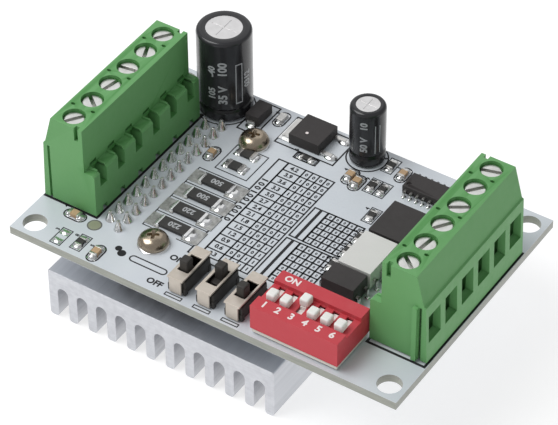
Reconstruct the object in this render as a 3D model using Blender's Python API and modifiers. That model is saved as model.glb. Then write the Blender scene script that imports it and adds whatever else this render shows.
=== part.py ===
"""Stepper driver module: a circuit board with screw terminals and switches on a finned heatsink.

World frame, in metres: X runs along the board's long edge, Y from the switch edge to the back
edge, Z up from the heatsink's fin tips, with the origin under the middle of the board.
"""

import math

import bmesh
import bpy
from mathutils import Matrix, Vector

# Gaps between pieces
SEAT_GAP = 0.0003
SLIDE_CLEARANCE = 0.0003
SCREW_CLEARANCE = 0.00025
PAST = 0.001  # how far a cutter runs out of what it cuts
JOIN = 0.0004  # how far a joined shape reaches into the one it joins

# Board
BOARD_LENGTH = 0.0750
BOARD_WIDTH = 0.0500
BOARD_THICKNESS = 0.0016
CORNER_HOLE_DIAMETER = 0.0042
CORNER_HOLE_INSET = 0.0030

# Heatsink, set in from the board's left end
HEATSINK_LENGTH = 0.0450
HEATSINK_DEPTH = 0.0490
HEATSINK_HEIGHT = 0.0100
HEATSINK_INSET = 0.0069
HEATSINK_BASE = 0.0033
FIN_COUNT = 12
FIN_THICKNESS = 0.00178
ARCH_STEPS = 6

# Terminal blocks, each measured from its inner face to its wire face
POLE_COUNT = 6
POLE_PITCH = 0.00508
BLOCK_DEPTH = 0.01060
BLOCK_HEIGHT = 0.0179
BLOCK_EDGE_MARGIN = 0.00035
LEFT_BLOCK_Y = -0.0003
BLOCK_STEP_HEIGHT = 0.0090
BLOCK_STEP_DEPTH = 0.00205
BLOCK_LEDGE_HEIGHT = 0.0119
BLOCK_LEAN = 0.0004
BLOCK_TOP_SETBACK = 0.00225
BLOCK_EDGE_ROUND = 0.00035
RIB_WIDTH = 0.00085
RIB_RISE = 0.00065
RIB_FROM_WIRE_FACE = 0.00175
GROOVE_WIDTH = 0.0005
GROOVE_DEPTH = 0.0004
END_NOTCH_WIDTH = 0.0008
END_NOTCH_DEPTH = 0.0008
END_NOTCH_HEIGHT = 0.0026
INNER_SLOT_WIDTH = 0.0019
INNER_SLOT_DEPTH = 0.0024
INNER_SLOT_HEIGHT = 0.0032
BASE_NOTCH_WIDTH = 0.0012
BASE_NOTCH_DEPTH = 0.0010
BASE_NOTCH_HEIGHT = 0.0011
WIRE_ENTRY_WIDTH = 0.0038
WIRE_ENTRY_HEIGHT = 0.0058
WIRE_ENTRY_CENTRE = 0.0069
WIRE_ENTRY_TAPER = 0.82
WIRE_FACE_WALL = 0.0011
CHAMBER_ROOF_WALL = 0.0014

# Clamps
CLAMP_X = 0.00535
CLAMP_SCREW_HEAD = 0.0034
CLAMP_SCREW_HEAD_HEIGHT = 0.0021
CLAMP_SCREW_SUNK = 0.0005
CLAMP_SCREW_DIAMETER = 0.0025
CLAMP_SCREW_CHAMFER = 0.0002
CLAMP_SLOT_WIDTH = 0.00065
CLAMP_SLOT_DEPTH = 0.0011
CLAMP_SLOT_ANGLES = (62, -28, 35, 80, -12, 48)
CAGE_LENGTH = 0.0040
CAGE_HEIGHT = 0.0070
CAGE_SIDE_WALL = 0.0004
CAGE_TOP_WALL = 0.0014
CAGE_BOTTOM_WALL = 0.0010
CAGE_TRAVEL = 0.0018

# Driver chip, lying flat between heatsink and board, its leads beside the left terminal block
DRIVER_Y = -0.0006
DRIVER_WIDTH = 0.0155
DRIVER_LENGTH = 0.0360
DRIVER_THICKNESS = 0.0045
LEAD_COUNT = 25
LEAD_PITCH = 0.00127
LEAD_ROW_SPACING = 0.00254
LEAD_WIDTH = 0.0006
LEAD_THICKNESS = 0.0005
LEAD_RISE = 0.0019
LEAD_HOLE_DIAMETER = 0.0011
LEADS_TO_BLOCK = 0.00215
LEADS_TO_BODY = 0.0015

# Screws that hold board and chip to the heatsink
LEADS_TO_SCREWS = 0.00686
HEATSINK_SCREW_SPACING = 0.0300
HEATSINK_SCREW_DIAMETER = 0.0030
HEATSINK_SCREW_HEAD = 0.0053
HEATSINK_SCREW_HEAD_HEIGHT = 0.0019
HEATSINK_SCREW_BITE = 0.0045
RECESS_LENGTH = 0.0028
RECESS_WIDTH = 0.0006
RECESS_TURN = 0.5

# DIP switch, against the right terminal block
DIP_PITCH = 0.00254
DIP_END = 0.00058
DIP_FRONT_MARGIN = 0.00065
DIP_WIDTH = 0.0097
DIP_HEIGHT = 0.0061
DIP_WALL = 0.0008
DIP_BASE_INSET = 0.0002
DIP_BASE_THICKNESS = 0.0006
DIP_CHANNEL_WIDTH = 0.0044
DIP_CHANNEL_DEPTH = 0.0008
DIP_ROOF_WALL = 0.0005
DIP_TRAVEL = 0.0019
DIP_STEM_WIDTH = 0.0014
DIP_STEM_LENGTH = 0.0021
DIP_NIB_WIDTH = 0.0012
DIP_NIB_LENGTH = 0.0014
DIP_NIB_RISE = 0.0008
DIP_SLIDER_GAP = 0.0007
DIP_SLIDER_LENGTH = 0.0056
DIP_ON = (3,)

# Slide switches, in a row beside the DIP switch
SWITCH_PITCH = 0.0055
SWITCH_TO_DIP = 0.00405
SWITCH_FRONT_MARGIN = 0.0014
SWITCH_LENGTH = 0.0085
SWITCH_WIDTH = 0.0030
SWITCH_HEIGHT = 0.0035
SWITCH_BASE_WIDTH = 0.0033
SWITCH_FLOOR = 0.0006
SWITCH_SHEET = 0.00035
SWITCH_TAB_WIDTH = 0.0023
SWITCH_TRAVEL = 0.0020
SWITCH_WALL = 0.00045
KNOB_WIDTH = 0.0014
KNOB_LENGTH = 0.0016
KNOB_HEIGHT = 0.0055
KNOB_FOOT_LENGTH = 0.0038
SWITCH_BACK = (2,)

# Capacitors: radius and height; the large one stands behind the left terminal block
LARGE_CAPACITOR = (0.00485, 0.0174)
LARGE_CAPACITOR_FROM_BLOCK_FACE = 0.0019
SMALL_CAPACITOR = (0.00315, 0.0120)
SMALL_CAPACITOR_X = 0.0032
SMALL_CAPACITOR_BACK_MARGIN = 0.00015
CRIMP_HEIGHT = 0.0025
CRIMP_DEPTH = 0.0003
CAN_TOP_SUNK = 0.0003

# Optocouplers: name, distance from the right block's inner face, y, length, legs a side and their pitch
OPTOCOUPLERS = (
    ("optocoupler_front", 0.00885, -0.0087, 0.0044, 2, 0.00254),
    ("optocoupler_middle", 0.00865, -0.0018, 0.0086, 4, 0.0021),
    ("optocoupler_back", 0.00845, 0.0071, 0.0083, 4, 0.0021),
)
OPTOCOUPLER_WIDTH = 0.0062
OPTOCOUPLER_HEIGHT = 0.0040
OPTOCOUPLER_STANDOFF = 0.0006
# Legs: width, thickness, height of the run, reach past the body
OPTOCOUPLER_LEG = (0.0006, 0.0003, 0.0019, 0.0007)
LOGIC_CHIP_LEG = (0.0004, 0.00025, 0.0009, 0.0008)
LOGIC_CHIP_SIZE = (0.0099, 0.0039, 0.0015)
LOGIC_CHIP_FROM_BLOCK = 0.00875
LOGIC_CHIP_FROM_BACK = 0.0059
LOGIC_CHIP_LEGS = 8
LOGIC_CHIP_PITCH = 0.0012

# Other parts on the board: each size is length, width, height
SHUNT_COUNT = 4
SHUNT_FROM_LEADS = 0.00766
SHUNT_FIRST_Y = 0.00205
SHUNT_PITCH = 0.00422
SHUNT_SIZE = (0.0063, 0.0030, 0.0006)
SHUNT_LIFT = 0.0001
REGULATOR_X = -0.0070
REGULATOR_FROM_BACK = 0.0044
REGULATOR_SIZE = (0.0061, 0.0062, 0.0023)
REGULATOR_TAB = (0.0014, 0.0052)
REGULATOR_LEG = (0.0022, 0.0008)
REGULATOR_LEG_PITCH = 0.00457
REGULATOR_SHEET = 0.0005
DIODE_FROM_LEADS = 0.00396
DIODE_FROM_BACK = 0.0047
DIODE_SIZE = (0.0027, 0.0045, 0.0022)
DIODE_CLIP = (0.0015, 0.0053, 0.0008)
METAL_LIFT = 0.0001  # sheet metal feet lie this far above the bodies' undersides

BOARD_BOTTOM = HEATSINK_HEIGHT + DRIVER_THICKNESS + 2 * SEAT_GAP
BOARD_TOP = BOARD_BOTTOM + BOARD_THICKNESS
HEATSINK_X = -BOARD_LENGTH / 2 + HEATSINK_INSET + HEATSINK_LENGTH / 2
BLOCK_LENGTH = POLE_COUNT * POLE_PITCH
BLOCK_INNER_X = BOARD_LENGTH / 2 - BLOCK_EDGE_MARGIN - BLOCK_DEPTH
CLAMP_HEAD_TOP = BLOCK_HEIGHT - CLAMP_SCREW_SUNK
CLAMP_HEAD_BOTTOM = CLAMP_HEAD_TOP - CLAMP_SCREW_HEAD_HEIGHT
CLAMP_LEDGE = CLAMP_HEAD_BOTTOM - SEAT_GAP
CHAMBER_ROOF = CLAMP_LEDGE - CHAMBER_ROOF_WALL
CAGE_BOTTOM = CHAMBER_ROOF - 2 * SLIDE_CLEARANCE - CAGE_TRAVEL - CAGE_HEIGHT
CLAMP_BORE = CLAMP_SCREW_DIAMETER + 2 * SCREW_CLEARANCE
CAGE_WIDTH = CLAMP_BORE + 2 * CAGE_SIDE_WALL
OUTER_LEAD_ROW_X = -BLOCK_INNER_X + LEADS_TO_BLOCK
INNER_LEAD_ROW_X = OUTER_LEAD_ROW_X + LEAD_ROW_SPACING
HEATSINK_SCREW_X = INNER_LEAD_ROW_X + LEADS_TO_SCREWS
HEATSINK_SCREW_HOLE = HEATSINK_SCREW_DIAMETER + 2 * SCREW_CLEARANCE
DIP_LENGTH = POLE_COUNT * DIP_PITCH + 2 * DIP_END
DIP_X = BLOCK_INNER_X - SEAT_GAP - DIP_LENGTH / 2
DIP_Y = -BOARD_WIDTH / 2 + DIP_FRONT_MARGIN + DIP_WIDTH / 2
SWITCH_Y = -BOARD_WIDTH / 2 + SWITCH_FRONT_MARGIN + SWITCH_LENGTH / 2
BACK_EDGE = BOARD_WIDTH / 2


for leftover in list(bpy.data.objects):
    bpy.data.objects.remove(leftover)


def collection(name, in_render=True):
    made = bpy.data.collections.new(name)
    made.hide_render = not in_render
    bpy.context.scene.collection.children.link(made)
    return made


PARTS = collection("stepper_driver_module")
TOOLS = collection("cutters", in_render=False)


def material(name, colour, roughness, metallic=0.0):
    made = bpy.data.materials.new(name)
    made.use_nodes = True
    shader = made.node_tree.nodes["Principled BSDF"]
    shader.inputs["Base Color"].default_value = (*colour, 1.0)
    shader.inputs["Roughness"].default_value = roughness
    shader.inputs["Metallic"].default_value = metallic
    return made


WHITE_MASK = material("white_solder_mask", (0.62, 0.66, 0.73), 0.35)
ALUMINIUM = material("extruded_aluminium", (0.72, 0.73, 0.75), 0.38, 1.0)
BLACK_EPOXY = material("black_epoxy", (0.035, 0.033, 0.035), 0.5)
WHITE_EPOXY = material("white_epoxy", (0.62, 0.61, 0.60), 0.5)
NICKEL = material("nickel_plated_steel", (0.75, 0.69, 0.58), 0.25, 1.0)
ZINC = material("zinc_plated_steel", (0.75, 0.74, 0.70), 0.35, 1.0)
GREEN = material("green_polyamide", (0.12, 0.36, 0.13), 0.45)
RED = material("red_polyester", (0.55, 0.045, 0.06), 0.4)
WHITE_PLASTIC = material("white_nylon", (0.82, 0.80, 0.76), 0.4)
PALE_PLASTIC = material("pale_polyester", (0.60, 0.52, 0.42), 0.5)
BLACK_PLASTIC = material("black_nylon", (0.022, 0.020, 0.020), 0.5)
TINNED_SHEET = material("tinned_sheet", (0.58, 0.54, 0.48), 0.45, 0.6)
BLACK_SLEEVE = material("black_sleeve", (0.018, 0.018, 0.020), 0.3)
CERAMIC = material("resistor_ceramic", (0.06, 0.06, 0.06), 0.5)


def add_object(name, mesh, mat, parent=None, location=(0, 0, 0), turn=0.0):
    """A part, or a tool when no material is given."""
    made = bpy.data.objects.new(name, mesh)
    (PARTS if mat else TOOLS).objects.link(made)
    made.location = location
    made.rotation_euler.z = turn
    made.parent = parent
    if mat and not mesh.materials:
        mesh.materials.append(mat)
    if not mat:
        made.hide_render = True
        made.display_type = "WIRE"
    return made


def anchor(name, location, parent=None, turn=0.0):
    made = bpy.data.objects.new(name, None)
    PARTS.objects.link(made)
    made.location = location
    made.rotation_euler.z = turn
    made.parent = parent
    return made


def mesh_of(name, bm):
    mesh = bpy.data.meshes.new(name)
    bm.to_mesh(mesh)
    bm.free()
    return mesh


def box_mesh(name, *spans):
    """Boxes that stay clear of each other, each as ((x0, x1), (y0, y1), (z0, z1))."""
    bm = bmesh.new()
    for span in spans:
        low, high = (Vector(side) for side in zip(*span))
        place = Matrix.Translation((low + high) / 2) @ Matrix.Diagonal((*(high - low), 1))
        bmesh.ops.create_cube(bm, size=1, matrix=place)
    return mesh_of(name, bm)


def cylinder_mesh(name, centres, diameter, z_low, z_high, segments):
    bm = bmesh.new()
    for x, y in centres:
        bmesh.ops.create_cone(
            bm,
            cap_ends=True,
            segments=segments,
            radius1=diameter / 2,
            radius2=diameter / 2,
            depth=z_high - z_low,
            matrix=Matrix.Translation((x, y, (z_low + z_high) / 2)),
        )
    return mesh_of(name, bm)


def outline_mesh(name, points, thickness):
    """A flat outline in X and Z, given thickness about the plane Y = 0."""
    curve = bpy.data.curves.new(name, "CURVE")
    curve.dimensions = "2D"
    curve.fill_mode = "BOTH"
    curve.extrude = thickness / 2
    spline = curve.splines.new("POLY")
    spline.points.add(len(points) - 1)
    for place, (x, z) in zip(spline.points, points):
        place.co = (x, z, 0, 1)
    spline.use_cyclic_u = True
    guide = bpy.data.objects.new(name, curve)
    TOOLS.objects.link(guide)
    graph = bpy.context.evaluated_depsgraph_get()
    mesh = bpy.data.meshes.new_from_object(guide.evaluated_get(graph))
    bpy.data.objects.remove(guide)
    bm = bmesh.new()
    bm.from_mesh(mesh)
    bmesh.ops.remove_doubles(bm, verts=bm.verts, dist=1e-7)
    bmesh.ops.rotate(bm, verts=bm.verts, matrix=Matrix.Rotation(math.radians(90), 3, "X"))
    bmesh.ops.recalc_face_normals(bm, faces=bm.faces)
    bm.to_mesh(mesh)
    bm.free()
    return mesh


def turned_object(name, profile, mat, steps, **place):
    """A profile of (radius, z) from the top down, turned about the object's Z axis."""
    bm = bmesh.new()
    points = [bm.verts.new((radius, 0, z)) for radius, z in profile]
    for upper, lower in zip(points, points[1:]):
        bm.edges.new((upper, lower))
    made = add_object(name, mesh_of(name, bm), mat, **place)
    screw = made.modifiers.new("turn", "SCREW")
    screw.steps = steps
    screw.render_steps = steps
    screw.use_merge_vertices = True
    screw.merge_threshold = 0.00001
    return made


def combine(target, tool_mesh, operation="DIFFERENCE"):
    """Cuts the tool from the target, or joins it on with UNION. The tool sits at the target's place."""
    tool = add_object(f"{target.name}_{tool_mesh.name}", tool_mesh, None, location=target.location)
    tool.parent = target.parent
    tool.rotation_euler = target.rotation_euler
    modifier = target.modifiers.new(tool_mesh.name, "BOOLEAN")
    modifier.operation = operation
    modifier.object = tool


def smooth(mesh, degrees=35):
    mesh.shade_smooth()
    mesh.set_sharp_from_angle(angle=math.radians(degrees))


def finished_mesh(draft):
    """The draft's mesh with its modifiers applied, for several objects to share."""
    bpy.context.view_layer.update()
    graph = bpy.context.evaluated_depsgraph_get()
    mesh = bpy.data.meshes.new_from_object(draft.evaluated_get(graph))
    tools = [modifier.object for modifier in draft.modifiers if modifier.type == "BOOLEAN"]
    for used in [draft, *tools]:
        bpy.data.objects.remove(used)
    smooth(mesh)
    return mesh


def centred(width):
    return (-width / 2, width / 2)


def row(count, pitch):
    return [(index - (count - 1) / 2) * pitch for index in range(count)]


def lead_places():
    """Centres of the driver chip's leads, alternating between the inner and the outer row."""
    xs = (INNER_LEAD_ROW_X, OUTER_LEAD_ROW_X)
    ys = [DRIVER_Y + y for y in row(LEAD_COUNT, LEAD_PITCH)]
    return [(xs[index % 2], y) for index, y in enumerate(ys)]


def heatsink_screw_places():
    return [(HEATSINK_SCREW_X, DRIVER_Y + y) for y in row(2, HEATSINK_SCREW_SPACING)]


def make_board():
    outline = (centred(BOARD_LENGTH), centred(BOARD_WIDTH), (0, BOARD_THICKNESS))
    board_mesh = box_mesh("board", outline)
    board = add_object("circuit_board", board_mesh, WHITE_MASK, location=(0, 0, BOARD_BOTTOM))
    x, y = BOARD_LENGTH / 2 - CORNER_HOLE_INSET, BOARD_WIDTH / 2 - CORNER_HOLE_INSET
    corners = [(sx * x, sy * y) for sx in (-1, 1) for sy in (-1, 1)]
    through = (-PAST, BOARD_THICKNESS + PAST)
    screws = heatsink_screw_places()
    combine(board, cylinder_mesh("corner_holes", corners, CORNER_HOLE_DIAMETER, *through, 28))
    combine(board, cylinder_mesh("screw_holes", screws, HEATSINK_SCREW_HOLE, *through, 20))
    combine(board, cylinder_mesh("lead_holes", lead_places(), LEAD_HOLE_DIAMETER, *through, 8))


def heatsink_outline():
    """Fins point down; each slot between them ends in a half-round."""
    slot = (HEATSINK_LENGTH - FIN_COUNT * FIN_THICKNESS) / (FIN_COUNT - 1)
    arch_z = HEATSINK_HEIGHT - HEATSINK_BASE - slot / 2
    left = -HEATSINK_LENGTH / 2
    points = [(left, HEATSINK_HEIGHT), (left, 0)]
    for index in range(FIN_COUNT - 1):
        slot_x = left + FIN_THICKNESS + slot / 2 + index * (FIN_THICKNESS + slot)
        points.append((slot_x - slot / 2, 0))
        for step in range(ARCH_STEPS + 1):
            angle = math.pi * (1 - step / ARCH_STEPS)
            across, up = slot / 2 * math.cos(angle), slot / 2 * math.sin(angle)
            points.append((slot_x + across, arch_z + up))
        points.append((slot_x + slot / 2, 0))
    points += [(-left, 0), (-left, HEATSINK_HEIGHT)]
    return points


def make_heatsink():
    mesh = outline_mesh("extrusion", heatsink_outline(), HEATSINK_DEPTH)
    heatsink = add_object("heatsink", mesh, ALUMINIUM, location=(HEATSINK_X, 0, 0))
    places = [(x - HEATSINK_X, y) for x, y in heatsink_screw_places()]
    depth = (HEATSINK_HEIGHT - HEATSINK_SCREW_BITE - 2 * SEAT_GAP, HEATSINK_HEIGHT + PAST)
    combine(heatsink, cylinder_mesh("screw_holes", places, HEATSINK_SCREW_HOLE, *depth, 20))


def make_driver_chip():
    body_left = INNER_LEAD_ROW_X + LEADS_TO_BODY
    centre_x = body_left + DRIVER_WIDTH / 2
    body = (centred(DRIVER_WIDTH), centred(DRIVER_LENGTH), (0, DRIVER_THICKNESS))
    place = (centre_x, DRIVER_Y, HEATSINK_HEIGHT + SEAT_GAP)
    chip = add_object("driver_chip", box_mesh("driver_body", body), BLACK_EPOXY, location=place)
    notch_x = HEATSINK_SCREW_X - centre_x
    notch_y = HEATSINK_SCREW_SPACING / 2
    notches = [(notch_x, -notch_y), (notch_x, notch_y)]
    through = (-PAST, DRIVER_THICKNESS + PAST)
    combine(chip, cylinder_mesh("notch_rounds", notches, HEATSINK_SCREW_HOLE, *through, 20))
    sides = (notch_x - HEATSINK_SCREW_HOLE / 2, notch_x + HEATSINK_SCREW_HOLE / 2)
    end = DRIVER_LENGTH / 2 + PAST
    mouths = [(sides, (-end, -notch_y), through), (sides, (notch_y, end), through)]
    combine(chip, box_mesh("notch_mouths", *mouths))
    lead_low = DRIVER_THICKNESS / 2 - LEAD_THICKNESS / 2
    lead_top = DRIVER_THICKNESS + SEAT_GAP + BOARD_THICKNESS + LEAD_RISE
    flat = (lead_low, lead_low + LEAD_THICKNESS)
    runs, rises = [], []
    for x, y in lead_places():
        x, y = x - centre_x, y - DRIVER_Y
        width = (y - LEAD_WIDTH / 2, y + LEAD_WIDTH / 2)
        outer, inner = x - LEAD_THICKNESS / 2, x + LEAD_THICKNESS / 2
        runs.append(((outer, -DRIVER_WIDTH / 2 + JOIN), width, flat))
        rises.append(((outer, inner), width, (lead_low, lead_top)))
    combine(chip, box_mesh("lead_runs", *runs), "UNION")
    combine(chip, box_mesh("lead_rises", *rises), "UNION")


def make_heatsink_screws():
    head, shank = HEATSINK_SCREW_HEAD / 2, HEATSINK_SCREW_DIAMETER / 2
    reach = SEAT_GAP + BOARD_TOP - HEATSINK_HEIGHT + HEATSINK_SCREW_BITE
    domed = [(0, 1), (0.45, 0.96), (0.80, 0.74), (1, 0.28), (1, 0)]
    profile = [(share * head, rise * HEATSINK_SCREW_HEAD_HEIGHT) for share, rise in domed]
    profile += [(shank, 0), (shank, -reach + shank / 2), (shank / 2, -reach), (0, -reach)]
    draft = turned_object("screw_draft", profile, NICKEL, 24)
    recess = (HEATSINK_SCREW_HEAD_HEIGHT * 0.35, HEATSINK_SCREW_HEAD_HEIGHT + PAST)
    arm, blade = centred(RECESS_LENGTH), centred(RECESS_WIDTH)
    combine(draft, box_mesh("recess_arm", (arm, blade, recess)))
    combine(draft, box_mesh("recess_blade", (blade, arm, recess)))
    mesh = finished_mesh(draft)
    for end, (x, y) in zip(("front", "back"), heatsink_screw_places()):
        place = (x, y, BOARD_TOP + SEAT_GAP)
        name = f"heatsink_screw_{end}"
        add_object(name, mesh, NICKEL, location=place, turn=RECESS_TURN)


def block_outline():
    """Section of a terminal block, from its inner face at X = 0 out to the wire side."""
    ledge_outer = BLOCK_DEPTH - BLOCK_LEAN
    return [
        (0, SEAT_GAP),
        (BLOCK_DEPTH, SEAT_GAP),
        (ledge_outer, BLOCK_LEDGE_HEIGHT),
        (ledge_outer - BLOCK_EDGE_ROUND, BLOCK_LEDGE_HEIGHT + BLOCK_EDGE_ROUND / 2),
        (BLOCK_DEPTH - BLOCK_TOP_SETBACK, BLOCK_HEIGHT),
        (BLOCK_STEP_DEPTH, BLOCK_HEIGHT),
        (BLOCK_STEP_DEPTH, BLOCK_STEP_HEIGHT),
        (BLOCK_EDGE_ROUND, BLOCK_STEP_HEIGHT),
        (0, BLOCK_STEP_HEIGHT - BLOCK_EDGE_ROUND),
    ]


def wire_funnels():
    """Tapered mouths from the wire face into the clamp chambers."""
    throat_x = BLOCK_DEPTH - BLOCK_LEAN - WIRE_FACE_WALL
    width, height = WIRE_ENTRY_WIDTH / 2, WIRE_ENTRY_HEIGHT / 2
    bm = bmesh.new()
    for y in row(POLE_COUNT, POLE_PITCH):
        low = Vector((throat_x - JOIN, y - width, WIRE_ENTRY_CENTRE - height))
        high = Vector((BLOCK_DEPTH + JOIN, y + width, WIRE_ENTRY_CENTRE + height))
        place = Matrix.Translation((low + high) / 2) @ Matrix.Diagonal((*(high - low), 1))
        corners = bmesh.ops.create_cube(bm, size=1, matrix=place)["verts"]
        inner = [corner for corner in corners if corner.co.x < throat_x]
        middle = Matrix.Translation((0, -y, -WIRE_ENTRY_CENTRE))
        taper = (1, WIRE_ENTRY_TAPER, WIRE_ENTRY_TAPER)
        bmesh.ops.scale(bm, vec=taper, space=middle, verts=inner)
    return mesh_of("wire_funnels", bm)


def cut_block_ends(draft):
    """A dovetail rib on one end of a block, and grooves and notches on both."""
    end = BLOCK_LENGTH / 2
    rib_top = BLOCK_LEDGE_HEIGHT - SEAT_GAP
    rib_x = BLOCK_DEPTH - RIB_FROM_WIRE_FACE - RIB_WIDTH
    rib_span = (rib_x, rib_x + RIB_WIDTH)
    rib = (rib_span, (-end - RIB_RISE, -end + JOIN), (SEAT_GAP, rib_top))
    combine(draft, box_mesh("rib", rib), "UNION")
    groove_x = rib_x + RIB_WIDTH + GROOVE_DEPTH / 4
    groove_span = (groove_x, groove_x + GROOVE_WIDTH)
    front = (groove_span, (-end - PAST, -end + GROOVE_DEPTH), (-PAST, rib_top))
    back = (groove_span, (end - GROOVE_DEPTH, end + PAST), (-PAST, rib_top))
    combine(draft, box_mesh("end_grooves", front, back))
    notch_x = BLOCK_STEP_DEPTH + END_NOTCH_DEPTH
    notch_span = (notch_x, notch_x + END_NOTCH_WIDTH)
    notch_z = (BLOCK_HEIGHT - END_NOTCH_HEIGHT, BLOCK_HEIGHT + PAST)
    front = (notch_span, (-end - PAST, -end + END_NOTCH_DEPTH), notch_z)
    back = (notch_span, (end - END_NOTCH_DEPTH, end + PAST), notch_z)
    combine(draft, box_mesh("end_notches", front, back))


def make_block_mesh():
    draft = add_object("block_draft", outline_mesh("block", block_outline(), BLOCK_LENGTH), GREEN)
    cut_block_ends(draft)
    ys = row(POLE_COUNT, POLE_PITCH)
    chamber_inner = CLAMP_X - CAGE_LENGTH / 2 - SLIDE_CLEARANCE
    chamber_x = (chamber_inner, BLOCK_DEPTH - BLOCK_LEAN - WIRE_FACE_WALL)
    half = CAGE_WIDTH / 2 + SCREW_CLEARANCE
    chambers = [(chamber_x, (y - half, y + half), (-PAST, CHAMBER_ROOF)) for y in ys]
    combine(draft, box_mesh("chambers", *chambers))
    combine(draft, wire_funnels())
    centres = [(CLAMP_X, y) for y in ys]
    head_bore = CLAMP_SCREW_HEAD + 2 * SCREW_CLEARANCE
    head_span = (CLAMP_LEDGE, BLOCK_HEIGHT + PAST)
    shank_span = (CHAMBER_ROOF - PAST, CLAMP_LEDGE + PAST)
    combine(draft, cylinder_mesh("head_bores", centres, head_bore, *head_span, 24))
    combine(draft, cylinder_mesh("shank_bores", centres, CLAMP_BORE, *shank_span, 16))
    half = INNER_SLOT_WIDTH / 2
    slot_z = (BLOCK_STEP_HEIGHT - INNER_SLOT_HEIGHT, BLOCK_STEP_HEIGHT + PAST)
    slots = [((-PAST, INNER_SLOT_DEPTH), (y - half, y + half), slot_z) for y in ys]
    combine(draft, box_mesh("inner_slots", *slots))
    half = BASE_NOTCH_WIDTH / 2
    notch_z = (-PAST, SEAT_GAP + BASE_NOTCH_HEIGHT)
    notches = [((-PAST, BASE_NOTCH_DEPTH), (y - half, y + half), notch_z) for y in ys]
    combine(draft, box_mesh("base_notches", *notches))
    return finished_mesh(draft)


def make_clamp_screw_mesh():
    head, shank = CLAMP_SCREW_HEAD / 2, CLAMP_SCREW_DIAMETER / 2
    top = CLAMP_HEAD_TOP
    tip = CAGE_BOTTOM + CAGE_HEIGHT - CAGE_TOP_WALL - SEAT_GAP
    profile = [
        (0, top),
        (head - CLAMP_SCREW_CHAMFER, top),
        (head, top - CLAMP_SCREW_CHAMFER),
        (head, CLAMP_HEAD_BOTTOM),
        (shank, CLAMP_HEAD_BOTTOM),
        (shank, tip),
        (0, tip),
    ]
    draft = turned_object("clamp_screw_draft", profile, ZINC, 16)
    slot_z = (top - CLAMP_SLOT_DEPTH, top + PAST)
    slot = (centred(CLAMP_SCREW_HEAD + PAST), centred(CLAMP_SLOT_WIDTH), slot_z)
    combine(draft, box_mesh("slot", slot))
    return finished_mesh(draft)


def make_cage_mesh():
    low, high = CAGE_BOTTOM, CAGE_BOTTOM + CAGE_HEIGHT
    cage = (centred(CAGE_LENGTH), centred(CAGE_WIDTH), (low, high))
    draft = add_object("cage_draft", box_mesh("cage", cage), ZINC)
    window_z = (low + CAGE_BOTTOM_WALL, high - CAGE_TOP_WALL)
    window = (centred(CAGE_LENGTH + PAST), centred(CLAMP_BORE), window_z)
    combine(draft, box_mesh("window", window))
    bore_z = (high - CAGE_TOP_WALL - PAST, high + PAST)
    combine(draft, cylinder_mesh("thread_bore", [(0, 0)], CLAMP_BORE, *bore_z, 16))
    return finished_mesh(draft)


def make_terminal_blocks(board):
    """The same block on both long ends, the left one turned half round."""
    block, screw, cage = make_block_mesh(), make_clamp_screw_mesh(), make_cage_mesh()
    sides = (("left", -BLOCK_INNER_X, LEFT_BLOCK_Y, math.pi), ("right", BLOCK_INNER_X, 0, 0))
    for side, x, y, turn in sides:
        frame = anchor(f"terminal_{side}", (x, y, 0), board, turn)
        add_object(f"terminal_block_{side}", block, GREEN, frame)
        ys = row(POLE_COUNT, POLE_PITCH)
        if side == "left":
            ys.reverse()
        for number, pole_y in enumerate(ys, 1):
            place = (CLAMP_X, pole_y, 0)
            slot_angle = math.radians(CLAMP_SLOT_ANGLES[number - 1])
            add_object(f"clamp_screw_{side}_{number}", screw, ZINC, frame, place, slot_angle)
            add_object(f"clamp_cage_{side}_{number}", cage, ZINC, frame, place)


def dip_actuator_mesh(base_top, ceiling, channel_floor):
    """A slider under the housing's roof, a stem through its window and a nib above it."""
    slider_top = ceiling - SLIDE_CLEARANCE
    slider_z = (base_top + SLIDE_CLEARANCE, slider_top)
    slider = (centred(DIP_PITCH - DIP_SLIDER_GAP), centred(DIP_SLIDER_LENGTH), slider_z)
    draft = add_object("dip_actuator_draft", box_mesh("dip_slider", slider), WHITE_PLASTIC)
    stem_z = (slider_top - JOIN, channel_floor)
    stem = (centred(DIP_STEM_WIDTH), centred(DIP_STEM_LENGTH), stem_z)
    combine(draft, box_mesh("stem", stem), "UNION")
    nib_z = (channel_floor - JOIN, DIP_HEIGHT + DIP_NIB_RISE)
    nib = (centred(DIP_NIB_WIDTH), centred(DIP_NIB_LENGTH), nib_z)
    combine(draft, box_mesh("nib", nib), "UNION")
    return finished_mesh(draft)


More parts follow.
